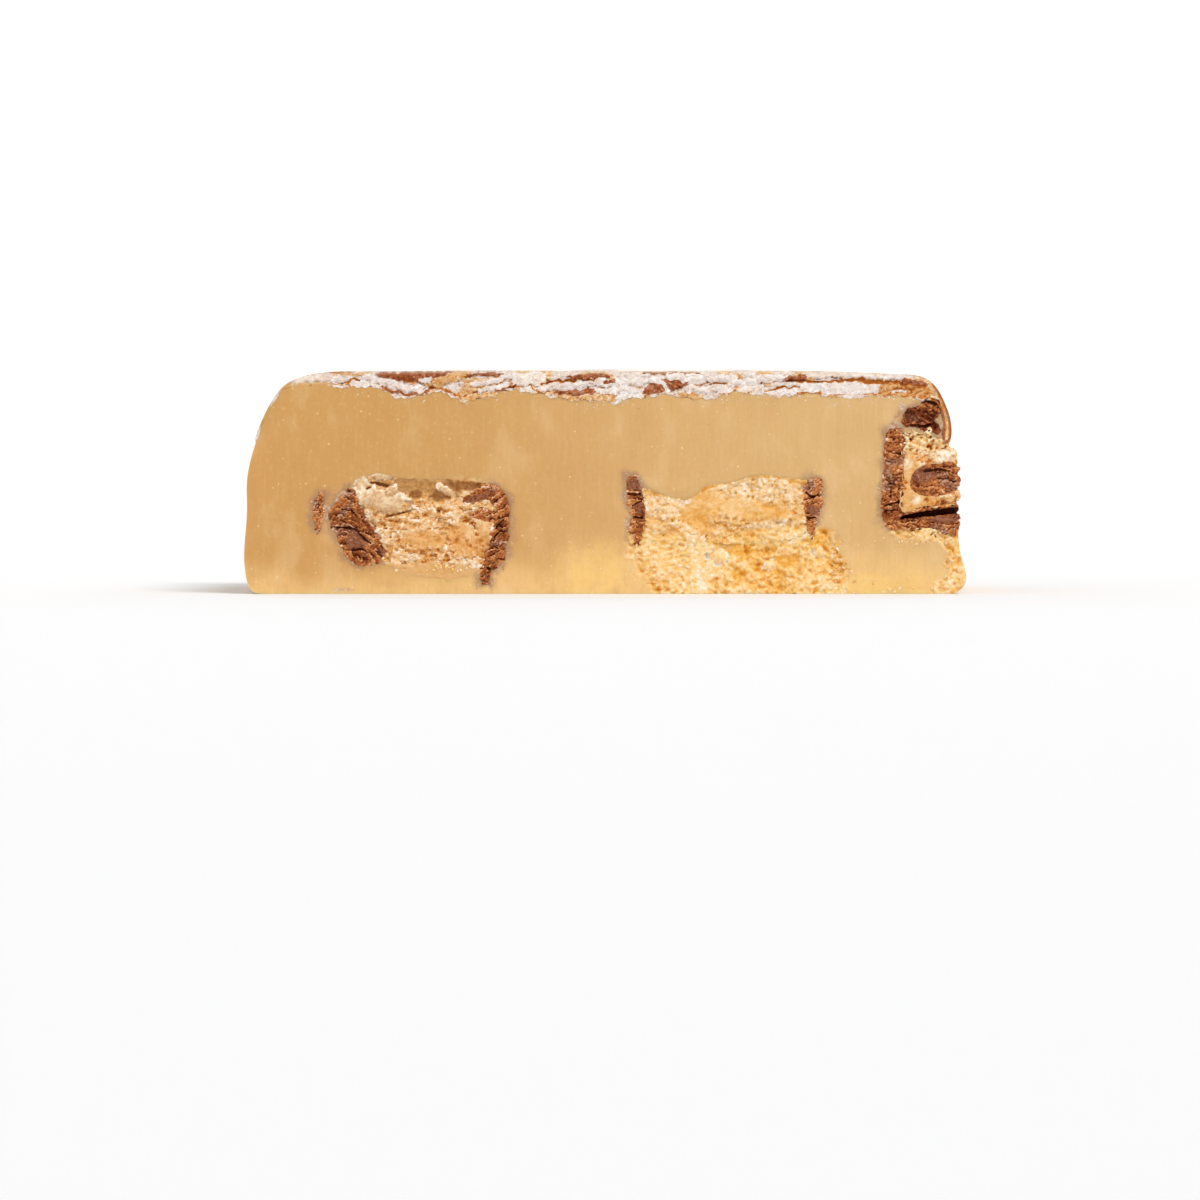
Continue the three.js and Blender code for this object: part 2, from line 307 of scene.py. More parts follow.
def addPiece(bm, name, finish, nodes, slot, tones, values):
    # a finished mesh in millimetres becomes a piece in metres, with its tones at every vertex
    bmesh.ops.scale(bm, vec=(metres, metres, metres), verts=bm.verts)
    piece = newObject(bm, name, finishes[finish])
    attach(piece, "root")
    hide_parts(*nodes)
    for k, tone in enumerate(tones):
        layer = piece.data.attributes.new(tone, "FLOAT", "POINT")
        layer.data.foreach_set("value", np.array([v[k] for v in values], np.float32))
    triangles = sum(len(p.vertices) - 2 for p in piece.data.polygons)
    print(f"{name}: {triangles} triangles")


def makeSection(name, look, relief, tones, skin=None):
    # relief(x, z, side, *distances) gives how deep a spot of the cut lies, and its tones;
    # skin(x, y, z, normal) gives how far a spot between the cuts stands out, and its tones
    bm = bmesh.new()
    trimmedGrid(bm, look["outlines"], look.get("holes", ()), look["cell"] * draft, look.get("finer", ()))
    drawnThrough(bm, look["rings"])
    if "more" in look:
        look["more"](bm)
    bm.normal_update()
    spots, which = np.unique(flat(bm).round(3), axis=0, return_inverse=True)
    distances = np.stack([nearestOfAll(group, (), spots)[0] for group in look["fields"]], axis=1)
    known, values = {}, []
    for vert, normal, at in zip(bm.verts, [v.normal.copy() for v in bm.verts], which.reshape(-1)):
        x, y, z = vert.co
        side = front if y < 0 else back
        if (at, side) not in known:
            known[at, side] = relief(*spots[at], side, *distances[at])
        depth, shades = known[at, side]
        if abs(abs(y) - halfDepth) > 1e-4:
            depth *= (y / halfDepth) ** 2
            y = side * halfDepth * math.sin(abs(y) / halfDepth * math.pi / 2)
            shades = [0.5] + [0.0] * (len(shades) - 1)
            if skin:
                push, shades = skin(x, y, z, normal)
                x, z = x + push * normal.x, max(0.0, z + push * normal.z)
        x, z = wander(x, y, z)
        vert.co = (x, y - side * depth, z)
        values.append(shades)
    addPiece(bm, name, look["finish"], [look["node"]], look["slot"], tones, values)


# materials

class Socket:
    # a socket of a material's tree, so that shader maths reads as Python
    def __init__(self, tree, socket):
        self.tree, self.socket = tree, socket

    def node(self, kind, settings=None, inputs=None, output=0):
        made = self.tree.nodes.new(kind)
        for key, value in (settings or {}).items():
            setattr(made, key, value)
        for key, value in (inputs or {}).items():
            if isinstance(value, Socket):
                self.tree.links.new(value.socket, made.inputs[key])
            else:
                made.inputs[key].default_value = value
        return Socket(self.tree, made.outputs[output])

    def maths(self, operation, *values):
        return self.node("ShaderNodeMath", {"operation": operation}, dict(enumerate(values)))

    def __add__(self, other):
        return self.maths("ADD", self, other)

    def __radd__(self, other):
        return self.maths("ADD", other, self)

    def __sub__(self, other):
        return self.maths("SUBTRACT", self, other)

    def __rsub__(self, other):
        return self.maths("SUBTRACT", other, self)

    def __mul__(self, other):
        return self.maths("MULTIPLY", self, other)

    def __rmul__(self, other):
        return self.maths("MULTIPLY", other, self)

    def most(self, other):
        return self.maths("MAXIMUM", self, other)

    def ramp(self, low, high):
        settings = {"interpolation_type": "SMOOTHSTEP"}
        return self.node("ShaderNodeMapRange", settings, {"Value": self, "From Min": low, "From Max": high})

    def blend(self, other, factor):
        # this colour, going over to another
        return self.node("ShaderNodeMix", {"data_type": "RGBA"}, {0: factor, 6: self, 7: other}, 2)

    def stretched(self, x, y, z):
        return self.node("ShaderNodeVectorMath", {"operation": "MULTIPLY"}, {0: self, 1: (x, y, z)})

    def moved(self, other, reach):
        # this place pushed about by a colour
        inputs = {0: other, 1: (reach,) * 3, 2: self}
        return self.node("ShaderNodeVectorMath", {"operation": "MULTIPLY_ADD"}, inputs)

    def noise(self, size, detail=3.0, roughness=0.55, colour=False):
        # size in millimetres
        inputs = {"Vector": self, "Scale": 1 / size, "Detail": detail, "Roughness": roughness}
        return self.node("ShaderNodeTexNoise", {}, inputs, 1 if colour else 0)

    def cells(self, size):
        return self.node("ShaderNodeTexVoronoi", {}, {"Vector": self, "Scale": 1 / size})

    def part(self, axis):
        return self.node("ShaderNodeSeparateXYZ", {}, {0: self}, "XYZ".index(axis))


def rgb(red, green, blue):
    # a colour as a picture shows it, turned to the linear values that shaders take
    parts = [v / 255 for v in (red, green, blue)]
    return tuple(v / 12.92 if v <= 0.04045 else ((v + 0.055) / 1.055) ** 2.4 for v in parts) + (1.0,)


class Finish:
    # a new material with its shader, its place in millimetres and its mesh tones at hand
    def __init__(self, name, **constants):
        self.material = bpy.data.materials.new(name)
        self.material.use_nodes = True
        self.tree = self.material.node_tree
        self.shader = self.tree.nodes["Principled BSDF"]
        for key, value in constants.items():
            self.shader.inputs[key.replace("_", " ")].default_value = value
        where = Socket(self.tree, None).node("ShaderNodeTexCoord", output=3)
        self.place = where.stretched(1 / metres, 1 / metres, 1 / metres)

    def tones(self, *names):
        return [self.place.node("ShaderNodeAttribute", {"attribute_name": n}, output=2) for n in names]

    def paint(self, rgba):
        # a colour as a socket
        return self.place.node("ShaderNodeMix", {"data_type": "RGBA"}, {0: 0.0, 6: rgba, 7: rgba}, 2)

    def palette(self, level, stops):
        # a colour that goes from one stop of (level, red, green, blue) to the next
        colour = self.paint(rgb(*stops[0][1:]))
        for (low, *_), (high, *shade) in zip(stops, stops[1:]):
            colour = colour.blend(rgb(*shade), level.ramp(low, high))
        return colour

    def grains(self, size):
        # small grains, about -0.5 in the gaps between them and 0.5 on top
        return 0.5 - self.place.cells(size) * 1.25

    def steps(self, bend, reach, stretch, size, count):
        # a saw of steps that follow a bent noise: 0 at the foot of each and 1 at its lip
        bent = self.place.moved(self.place.noise(bend, 2, colour=True), reach)
        climb = bent.stretched(*stretch).noise(size, 2.0, 0.5) * count
        return climb.maths("FRACT", climb)

    def feed(self, name, value):
        self.tree.links.new(value.socket, self.shader.inputs[name])

    def bump(self, height, distance):
        inputs = {"Height": height, "Distance": distance * metres}
        self.feed("Normal", height.node("ShaderNodeBump", {}, inputs))


# finishes: each palette goes from the deepest pits, darkened with painted shade, to the frosty crests,
# lightened partly with painted light

fudgeLook = {
    # left and right: the fudge's colour, darker on the left with painted shade and lighter on the right with
    # painted light
    "left": rgb(204, 155, 88),
    "right": rgb(215, 175, 116),
    "low": rgb(238, 200, 134),
    "sunny": rgb(242, 204, 122),
    "pale": rgb(240, 212, 164),
    "shade": rgb(186, 134, 74),
    "haze": rgb(160, 120, 94),
    "orange": rgb(176, 104, 48),
    "frost": rgb(226, 208, 196),
    "icy": [(-0.3, 166, 122, 92), (0.0, 206, 176, 150), (0.25, 232, 218, 208)],
    "torn": [(0.0, 216, 138, 26), (0.2, 232, 168, 62), (0.4, 240, 192, 112), (0.64, 246, 212, 160),
             (0.9, 253, 240, 228)],
}


def fudgeFinish(name, glow):
    f = Finish(name, IOR=1.45, Subsurface_Weight=glow, Subsurface_Scale=0.0008,
               Subsurface_Radius=(1.0, 0.7, 0.45))
    x, z = f.place.part("X"), f.place.part("Z")
    torn, level, haze, sunny, frosted = f.tones("torn", "level", "haze", "sunny", "frosted")
    cloud, mottle, fine = f.place.noise(9.0, 2), f.place.noise(1.5, 3), f.place.noise(0.4, 3, 0.6)
    streaks = f.place.stretched(1, 1, 0.09).noise(0.32, 4, 0.65)
    patches = f.place.stretched(1, 1, 0.6).noise(3.2, 4, 0.6)
    # lighter towards the bottom, and towards the right with painted light
    low = (z * -1 + cloud * 7 + x.ramp(-26, -6) * 1.6 + 0.6).ramp(0, 4.5)
    light = (low * 0.75).most(sunny * 0.5) * (mottle.ramp(0.2, 0.6) * 0.4 + 0.6)
    specks = f.place.cells(0.8).ramp(0.17, 0.05) * f.place.noise(2.0).ramp(0.45, 0.6)
    specks = specks.most(f.place.cells(1.9).ramp(0.07, 0.03))
    dust = f.place.cells(0.26).ramp(0.36, 0.16) * (haze + (mottle - 0.5) * 2.4).ramp(0.3, 0.9)
    layers = [
        # painted light and shade: the fudge grows lighter from left to right, as the light falls from the right
        ("right", x.ramp(-26, 24)),
        ("low", light),
        ("sunny", (sunny + (mottle - 0.5) * 1.4).ramp(0.2, 1.2) * 0.6),
        ("pale", streaks.ramp(0.5, 0.75) * 0.1 + fine.ramp(0.55, 0.75) * 0.2),
        ("shade", streaks.ramp(0.5, 0.25) * 0.1 + fine.ramp(0.45, 0.25) * 0.2),
        ("pale", patches.ramp(0.5, 0.72) * 0.2),
        ("shade", patches.ramp(0.5, 0.28) * 0.12),
        ("pale", specks * 0.7),
        ("haze", (haze + (fine - 0.5) * 1.2).ramp(0.1, 1.2) * 0.75),
        ("orange", dust * f.place.noise(0.5, 1).ramp(0.5, 0.55) * 0.8),
        ("frost", dust * f.place.noise(0.5, 1).ramp(0.45, 0.4) * 0.7),
    ]
    colour = f.paint(fudgeLook["left"])
    for tone, share in layers:
        colour = colour.blend(fudgeLook[tone], share)
    # the gaps between grains are darker and their tops lighter, as painted shade and light
    grains = f.grains(0.42) * 0.34 + f.grains(0.22) * 0.22 + (fine - 0.5) * 0.9
    icy = (frosted + grains).ramp(0.2, 1.0)
    colour = colour.blend(f.palette(grains, fudgeLook["icy"]), icy * 0.75)
    # painted highlights: small glints on the crests of the torn fudge
    crests = f.place.cells(0.5).ramp(0.22, 0.08) * (level + grains).ramp(0.3, 0.7)
    colour = colour.blend(f.palette(level + grains * 0.75 + crests * 0.35, fudgeLook["torn"]), torn)
    f.feed("Base Color", colour)
    f.feed("Roughness", 0.44 + torn * 0.2 + cloud * 0.1)
    f.bump(streaks * 0.35 + fine * 0.3 + grains * torn.most(icy) * 0.8, 0.12)
    return f.material


creamLook = {
    "broken": [(0.0, 184, 98, 8), (0.18, 212, 142, 54), (0.4, 226, 172, 104), (0.64, 235, 194, 142),
               (0.95, 250, 230, 210)],
    "pale": [(0.0, 158, 100, 44), (0.3, 206, 162, 112), (0.55, 230, 200, 158), (0.9, 250, 236, 218)],
    "amber": [(0.0, 134, 74, 10), (0.35, 168, 108, 36), (0.65, 190, 136, 70), (1.0, 214, 168, 106)],
    "fudge": rgb(216, 169, 106),
}


def creamFinish():
    f = Finish("creamFilling", Subsurface_Weight=0.3, Subsurface_Scale=0.0006,
               Subsurface_Radius=(1.0, 0.75, 0.5))
    level, rough, pale, amber, fade, torn = f.tones("level", "rough", "pale", "amber", "fade", "torn")
    fine, mottle = f.place.noise(0.4, 3, 0.65), f.place.noise(1.6, 3)
    steps = f.steps(0.8, 0.7, (0.55, 1, 1), 1.3, 7)
    grains = f.grains(0.42) * 0.3 + f.grains(0.22) * 0.2 + (fine - 0.5) * 0.8
    # painted light and shade: grain gaps and the foot of each shelf are darker, each lip lighter
    flaky = grains + steps.ramp(0.5, 0.95) * 0.22 - steps.ramp(0.2, 0.0) * 0.4
    micro = flaky * (0.25 + rough * 0.75) + (mottle - 0.5) * 0.5
    colour = f.palette(level + micro, creamLook["broken"])
    colour = colour.blend(f.palette(level + grains * 0.75, fudgeLook["torn"]), torn)
    colour = colour.blend(f.palette(level + micro * 0.8, creamLook["pale"]), pale)
    colour = colour.blend(f.palette(level + grains, creamLook["amber"]), (amber + grains * 0.5).ramp(0.1, 0.9))
    colour = colour.blend(creamLook["fudge"], (fade + grains * 0.7).ramp(0.25, 0.8) * 0.9)
    f.feed("Base Color", colour)
    f.feed("Roughness", 0.5 + fine * 0.2 - amber * 0.15)
    f.bump(micro.most(-0.5) * (1.0 - fade * 0.8) * (1.0 - pale * 0.6), 0.1)
    return f.material


chocolateLook = {
    "broken": [(0.0, 74, 22, 2), (0.2, 116, 50, 16), (0.4, 148, 80, 40), (0.6, 184, 108, 54),
               (0.85, 214, 146, 88), (1.25, 236, 208, 188)],
    "smooth": [(0.1, 84, 42, 24), (0.5, 142, 94, 72), (0.95, 198, 166, 148)],
}


def chocolateFinish(name, darker=0.0):
    f = Finish(name, Specular_IOR_Level=0.15)
    level, grey = f.tones("level", "grey")
    fine, broad = f.place.noise(0.3, 3, 0.65), f.place.noise(1.0, 3)
    steps = f.steps(0.7, 0.6, (0.6, 1, 1.2), 1.1, 8)
    micro = (fine - 0.5) * 0.8 + (broad - 0.5) * 0.5 + f.grains(0.25) * 0.1
    # painted light and shade: each step's lip is lighter and its foot darker
    micro = micro + (steps.ramp(0.55, 0.95) * 0.2 - steps.ramp(0.2, 0.0) * 0.25)
    shade = level + micro - darker
    smooth = (grey + (broad - 0.5) * 2).ramp(0.4, 1.0) * 0.65
    colour = f.palette(shade, chocolateLook["broken"]).blend(f.palette(shade, chocolateLook["smooth"]), smooth)
    f.feed("Base Color", colour)
    f.feed("Roughness", 0.5 + fine * 0.2)
    f.bump(micro, 0.14)
    return f.material


coatLook = {
    "ivory": rgb(236, 218, 190),
    "mauve": rgb(168, 130, 114),
    "brown": rgb(140, 80, 50),
    "white": [(0.0, 190, 106, 30), (0.12, 218, 150, 84), (0.26, 222, 198, 182), (0.55, 232, 217, 207),
              (0.95, 250, 244, 241)],
    "dark": [(0.0, 96, 36, 4), (0.26, 146, 68, 18), (0.46, 168, 96, 52), (0.7, 194, 142, 112),
             (1.0, 232, 212, 200)],
    "tan": [(0.0, 176, 92, 16), (0.2, 206, 134, 58), (0.44, 221, 172, 114), (0.7, 232, 198, 158),
            (1.0, 248, 234, 218)],
}


def coatFinish(name, glow):
    f = Finish(name, Specular_IOR_Level=0.25, Subsurface_Weight=glow, Subsurface_Scale=0.0006,
               Subsurface_Radius=(1.0, 0.7, 0.5))
    cutFace, level, brown, tan, fudge = f.tones("cutFace", "level", "brown", "tan", "fudge")
    # swirls left by a spatula on the outside: bands of noise, bent by larger noise
    bent = f.place.stretched(0.75, 1, 1).moved(f.place.noise(13, 1.5, colour=True), 16.0)
    bands = bent.noise(7.5, 2.5, 0.45)
    hairs = bent.noise(2.2, 2.0).ramp(0.60, 0.68) * 0.5
    rims = bands.ramp(0.545, 0.6) * bands.ramp(0.7, 0.62) * 0.9
    outside = f.paint(coatLook["ivory"]).blend(coatLook["mauve"], bands.ramp(0.50, 0.57) * 0.65)
    outside = outside.blend(coatLook["brown"], rims.most(hairs))
    fine, mottle = f.place.noise(0.35, 3, 0.65), f.place.noise(1.4, 3)
    steps = f.steps(1.2, 1.2, (0.45, 1, 1), 1.0, 8)
    micro = (fine - 0.5) + (mottle - 0.5) * 0.5 + f.grains(0.3) * 0.14
    # painted light and shade: each step's lip is lighter and its foot darker
    micro = micro + (steps.ramp(0.5, 0.95) * 0.2 - steps.ramp(0.16, 0.0) * 0.45)
    inside = f.palette(level + micro * 0.8, coatLook["white"])
    inside = inside.blend(f.palette(level + micro, coatLook["tan"]), (tan + micro * 0.5).ramp(0.25, 0.75))
    inside = inside.blend(f.palette(level + micro, coatLook["dark"]), (brown + micro * 0.5).ramp(0.3, 0.7))
    inside = inside.blend(fudgeLook["left"], fudge)
    f.feed("Base Color", outside.blend(inside, cutFace))
    f.feed("Roughness", 0.24 + cutFace * 0.34)
    f.feed("Coat Weight", 0.5 - cutFace * 0.5)
    f.bump(f.place.noise(1.6, 2) * (1 - cutFace) * 0.6 + micro * cutFace, 0.13)
    return f.material


waferLook = [(-0.1, 186, 104, 14), (0.15, 222, 152, 62), (0.35, 240, 190, 118), (0.6, 248, 214, 160),
             (0.85, 254, 238, 210)]


def waferFinish():
    f = Finish("waferCrumb", Roughness=0.8, Subsurface_Weight=0.15, Subsurface_Scale=0.0005,
               Subsurface_Radius=(1.0, 0.8, 0.5))
    level, = f.tones("level")
    grains = f.grains(0.4) * 0.4 + f.grains(0.2) * 0.2 + (f.place.noise(0.3, 3, 0.6) - 0.5) * 0.9
    # painted shade in the gaps between grains, painted light on their tops
    f.feed("Base Color", f.palette(level + grains, waferLook))
    f.bump(grains, 0.1)
    return f.material


finishes = {
    "fudge": fudgeFinish("caramelFudge", 0.5),
    "fudgeCrumb": fudgeFinish("fudgeCrumb", 0.0),
    "cream": creamFinish(),
    "chocolate": chocolateFinish("milkChocolate"),
    "darkChocolate": chocolateFinish("darkChocolate", 0.33),
    "coat": coatFinish("marbledChocolate", 0.15),
    "coatCrumb": coatFinish("coatCrumb", 0.0),
    "wafer": waferFinish(),
}
print("finishes made:", len(finishes))


# the bars' outlines, shared by the pieces and by the fudge round them

leftBar = {
    "chunk": [loop((-25.3, 10.7), (-26.6, 9.5), (-27.8, 7.9), (-27.1, 6.2), (-26.3, 4.4), (-25.0, 3.0),
                   (-23.8, 2.9), (-22.0, 3.85), (-22.4, 5.2), (-23.4, 6.9), (-24.6, 8.9))],
    "sliver": [strip((-28.3, 10.0, 0.5), (-28.7, 9.0, 1.1), (-28.75, 7.7, 1.1), (-28.8, 6.5, 0.5))],
    "hook": [
        strip((-14.4, 9.3, 0.6), (-13.2, 9.7, 1.3), (-11.6, 10.2, 1.7), (-10.5, 9.2, 1.5), (-10.4, 7.4, 1.6),
              (-10.7, 5.3, 1.8), (-11.3, 3.4, 1.8), (-12.0, 2.2, 1.2), (-12.0, 1.0, 0.8)),
        strip((-13.5, 7.8, 0.6), (-12.2, 7.9, 1.4), (-10.5, 7.5, 1.2)),
    ],
    "filling": [loop((-25.5, 11.2), (-23.0, 12.3), (-20.5, 11.9), (-17.5, 11.7), (-12.0, 11.3), (-10.6, 7.0),
                     (-11.6, 3.0), (-14.5, 1.4), (-19.5, 1.7), (-22.6, 3.2), (-25.6, 8.4))],
}
middleBar = {
    "leftWall": [strip((2.6, 11.9, 0.9), (2.8, 10.6, 1.7), (3.3, 8.4, 1.6), (3.2, 6.6, 1.5), (3.1, 4.9, 0.8))],
    "rightWall": [strip((20.8, 11.5, 1.3), (20.7, 9.8, 2.0), (20.6, 8.0, 1.5), (20.5, 6.2, 0.9))],
    "filling": [loop((3.2, 10.6), (6.4, 9.7), (8.6, 9.6), (10.0, 10.7), (12.5, 11.2), (15, 11.9), (18.5, 11.5),
                     (20.4, 11.1), (20.6, 7.4), (19.4, 5.7), (11.5, 5.1), (3.6, 5.7))],
}
rightBar = {
    "shell": [
        strip((28.9, 16.6, 1.4), (28.9, 14.0, 2.1), (28.8, 11.2, 2.1), (28.6, 8.8, 2.1), (28.5, 7.2, 1.7)),
        loop((27.9, 8.9), (31.4, 8.7), (35.0, 9.15), (35.3, 7.7), (35.2, 6.2), (33.8, 5.9), (32.6, 6.4),
             (30.6, 6.4), (28.6, 6.6), (27.7, 7.4)),
    ],
    "cap": [loop((29.7, 17.0), (29.9, 18.3), (31.4, 18.8), (31.9, 19.5), (33.4, 19.3), (33.4, 18.0),
                 (33.0, 17.4), (33.6, 16.2), (32.2, 16.2), (31.0, 16.6))],
    "wafer": [loop((29.7, 15.8), (31.1, 16.6), (33.2, 16.2), (34.4, 14.9), (34.6, 13.8), (32.4, 13.4),
                   (29.7, 13.6))],
    "cream": [loop((29.7, 13.9), (32.5, 14.2), (34.9, 14.5), (35.1, 11.6), (35.2, 9.2), (32.6, 8.6),
                   (29.6, 8.4), (29.7, 11.2))],
    "roll": [loop((30.4, 10.6), (30.6, 12.1), (31.6, 12.9), (33.4, 13.2), (35.0, 13.1), (35.1, 10.3),
                  (33.2, 9.7), (31.4, 9.8))],
}
chocolateOutlines = (leftBar["chunk"] + leftBar["sliver"] + leftBar["hook"] + middleBar["leftWall"]
                     + middleBar["rightWall"] + rightBar["shell"] + rightBar["cap"])
fillingOutlines = leftBar["filling"] + middleBar["filling"]

# where the coat ends below, at the cut
coatFoot = smoothCurve([
    (-31.0, 20.9), (-28.5, 21.0), (-26.5, 20.8), (-24.5, 20.7), (-22.5, 20.5), (-20.3, 19.7), (-18.2, 19.8),
    (-16.6, 20.4), (-15, 19.8), (-14, 19.2), (-12, 19.6), (-10.5, 20.1), (-8.5, 20.4), (-7, 20), (-4.5, 19.7),
    (-2, 19.3), (1, 19.3), (3.4, 19.5), (5.5, 19.9), (7.6, 19.8), (8.7, 19.4), (11, 19.8), (13.5, 20.2),
    (16.5, 19.8), (20, 20), (23.5, 19.7), (26, 19.7), (28.5, 19.8), (31.4, 19.4),
], 0.5, False)[:, :2]


# the fudge

tornSpots = [
    loop((2.4, 6.2), (8, 5.6), (13, 5.2), (18, 6.0), (21.9, 6.6), (23.3, 4.6), (23.6, 2.8), (24.6, 0.6),
         (24.4, -0.9), (14, -0.9), (5.6, -0.9), (4.0, 1.5), (2.5, 3.6)),
    loop((34.2, 5.0), (35.4, 5.0), (37, 3), (37, -0.6), (32.5, -0.6), (32.8, 0.8), (34.3, 1.9)),
    loop((28.4, 6.4), (36.6, 6.4), (36.6, 5.2), (32, 5.4), (29.5, 5.8)),
]
fudgeSpots = {
    # amber pits and smooth lumps in the torn patch: ellipse, depth
    "pits": [((12.9, 4.6, 1.9, 0.8, -0.3), 0.3), ((18.0, 3.4, 1.2, 0.6, 0.0), 0.3),
             ((13.3, 1.8, 0.5, 0.6, 0.8), 0.35), ((17.3, 2.1, 1.0, 0.35, -0.7), 0.35),
             ((21.4, 5.3, 0.7, 0.6, 0.0), 0.25)],
    "lumps": [((11.3, 3.8, 1.1, 0.8, -0.2), -0.05), ((16.4, 2.9, 0.7, 0.6, 0.4), -0.05),
              ((21.4, 4.2, 0.6, 0.5, 0), -0.05)],
    # yellower, frosted and raised places of the smooth fudge: ellipse
    "sunny": [(-1.2, 2.2, 4.4, 3.4, 0.1), (28.0, 1.0, 7.0, 1.6, 0.0)],
    "frosted": [(-27.9, 8.2, 0.55, 0.9, 0.1), (-26.4, 9.9, 1.1, 0.3, 0.75), (28.9, 16.9, 1.0, 0.6, 0.4),
                (31.6, 19.5, 2.0, 0.4, -0.3), (33.7, 16.2, 0.5, 1.6, 0.1), (29.6, 18.8, 0.5, 0.6, 0.6),
                (-26.2, 0.55, 1.5, 0.3, 0.0), (2.0, 9.9, 0.7, 0.35, 0.3), (2.1, 7.2, 0.4, 0.8, 0)],
    "fold": [(6.2, 10.7, 2.8, 0.6, -0.15)],
}


def tornSurface(x, z, seed):
    # crumbled fudge: how deep it lies, and how light it is, with painted shade in its pits and painted light on
    # its crests
    height = crumble(x, z, 1.5, seed)
    hollow = wobble(x, z, 3.0, seed + 6)
    fan = ramp(12.5, 9.5, x) * ramp(6.9, 6.0, z) * ramp(1.6, 2.6, z)
    if fan > 0:
        # torn fibres fan out to the left
        angle = math.atan2(z - 6.5, 15.5 - x)
        fibre = abs(math.sin(angle * 46 + 2.6 * grain(x, z, 1.2, seed + 7)))
        height = mix(height, 0.2 + 0.38 * fibre + 0.35 * height, fan * 0.6)
    depth = 0.52 - 0.75 * height - 0.45 * hollow
    return depth, 0.2 + 0.55 * height + 0.18 * hollow


def fudgeRelief(x, z, side, fromTorn, fromBrown, fromFilling, fromCoat):
    depth = 0.02 * grain(x, z * 0.15, 0.5, 3 + side) + 0.05 * wobble(x, z, 7, 5 + side)
    # it goes back where other pieces lie over its edge
    underCoating = ramp(0.15, 0.02, fromCoat) * ramp(-32, -31, x)
    behind = max(ramp(-0.15, -0.32, fromBrown), 0.35 * ramp(-0.08, -0.2, fromFilling), underCoating)
    haze = ramp(1.4, -0.1, fromBrown + 0.5 * wobble(x, z, 0.9, 8)) ** 1.4
    here = side == front
    sunny = softSpots(x, z, fudgeSpots["sunny"], 1.4, 0.3)
    frosted = softSpots(x, z, fudgeSpots["frosted"], 1.25, 0.5) if here else 0.0
    depth -= 0.12 * softSpots(x, z, fudgeSpots["fold"])
    torn = ramp(0.3, -0.3, fromTorn + 0.6 * grain(x, z, 0.9, 6 + side))
    level = 0.5
    if torn > 0:
        deep, level = tornSurface(x, z, 11 + 9 * side)
        if here:
            # the amber pits are darker, partly their own colour and partly painted shade
            for place, reach in fudgeSpots["pits"]:
                m = brokenSpot(x, z, place, 21)
                deep, level = mix(deep, max(deep, reach), m), mix(level, min(level, 0.24), m * 0.75)
            for place, reach in fudgeSpots["lumps"]:
                m, radius = inSpot(x, z, place, 0.5, 22)
                deep, level = mix(deep, reach + 0.4 * radius ** 2, m), mix(level, 0.6 + 0.3 * radius ** 3, m)
        depth = mix(depth, max(proudest, deep), torn)
    return depth + 0.5 * behind, (torn, level, haze * (1 - torn), sunny * (1 - torn), frosted * (1 - torn))


def fudgeSkin(x, y, z, normal):
    # the outer sides: soft dents, and a crumbly lower right side
    push = 0.12 * noise.noise(Vector((x / 5, y / 6, z / 4)))
    torn = ramp(33.5, 35.0, x) * ramp(0.1, 0.6, normal.x)
    torn *= ramp(7.5, 5.5, z + noise.noise(Vector((y / 2.5, z / 2, 4))))
    level = 0.5
    if torn > 0:
        coarse, small = (noise.voronoi(Vector((x / s, y / s, z / s)))[0][0] for s in (1.5, 0.6))
        height = 0.5 * (1 - coarse) + 0.25 * (1 - small) - 0.4
        push += torn * (height * 0.6 - 0.1)
        # painted shade: the deeper crumbs of the side are darker, the ones that stand out lighter
        level = 0.55 + 1.6 * height
    return push, (torn, level, 0.0, 0.0, 0.0)


def crumblySide(bm):
    # more rings where the lower right side is crumbly
    area = {"beyond": 33.4, "below": 8, "rings": 9}
    edges = [e for e in bm.edges if abs(e.verts[0].co.y - e.verts[1].co.y) > 0.5
             and all(v.co.x > area["beyond"] and v.co.z < area["below"] for v in e.verts)]
    bmesh.ops.subdivide_edges(bm, edges=edges, cuts=area["rings"], use_grid_fill=True)


slabOutline = loop(
    (-35.4, 0.3), (-36.1, 2.8), (-35.85, 8.2), (-35.8, 11.8), (-34.6, 16.2), (-32.6, 20.2), (-30.0, 21.5),
    (-26, 21.5), (0, 21.5), (29, 21.2), (33.2, 19.7), (34.0, 15.4), (35.1, 10), (35.4, 4.6), (36.05, 1.3),
    (34.8, 0), (15, 0), (-15, 0), (-34, 0), step=0.4)
slabOutline[:, 1] = np.maximum(0, slabOutline[:, 1])

# what the coat fills, a little less than the coat, so that no gap shows between them
underCoat = np.concatenate([
    coatFoot + (0, 0.35),
    [(33.3, 19.5), (34.0, 17.2), (33.9, 15.5), (34.6, 15.3), (38, 15.4), (38, 26), (-38, 26),
     (-38, 15.5), (-34.75, 15.5), (-34.2, 17.2), (-33.5, 18.5), (-32.6, 19.95)]])
# where the right bar lies open at the slab's side
rightMouth = loop((29.2, 15.9), (29.1, 12), (29.2, 7.4), (33, 6.7), (37.2, 6.9), (37.4, 12), (37, 15.2),
                  (34.4, 15.3), (33.2, 15.7), (31.3, 16.0))

fudge = {
    "node": "fudge_body", "slot": "caramel_fudge", "finish": "fudge", "cell": 0.42, "rings": 8,
    "outlines": [slabOutline],
    "holes": [widened(o, -0.35) for o in chocolateOutlines]
             + [ragged(widened(o, -0.25), 0.5, 0.12, 9) for o in fillingOutlines] + [rightMouth, underCoat],
    "finer": [(tornSpots, chocolateOutlines + [rightMouth, underCoat] + fillingOutlines), (tornSpots, ())],
    "fields": [tornSpots, chocolateOutlines, middleBar["filling"], [underCoat]],
    "more": crumblySide,
}
makeSection("fudge", fudge, fudgeRelief, ("torn", "level", "haze", "sunny", "frosted"), fudgeSkin)


# chocolate pieces

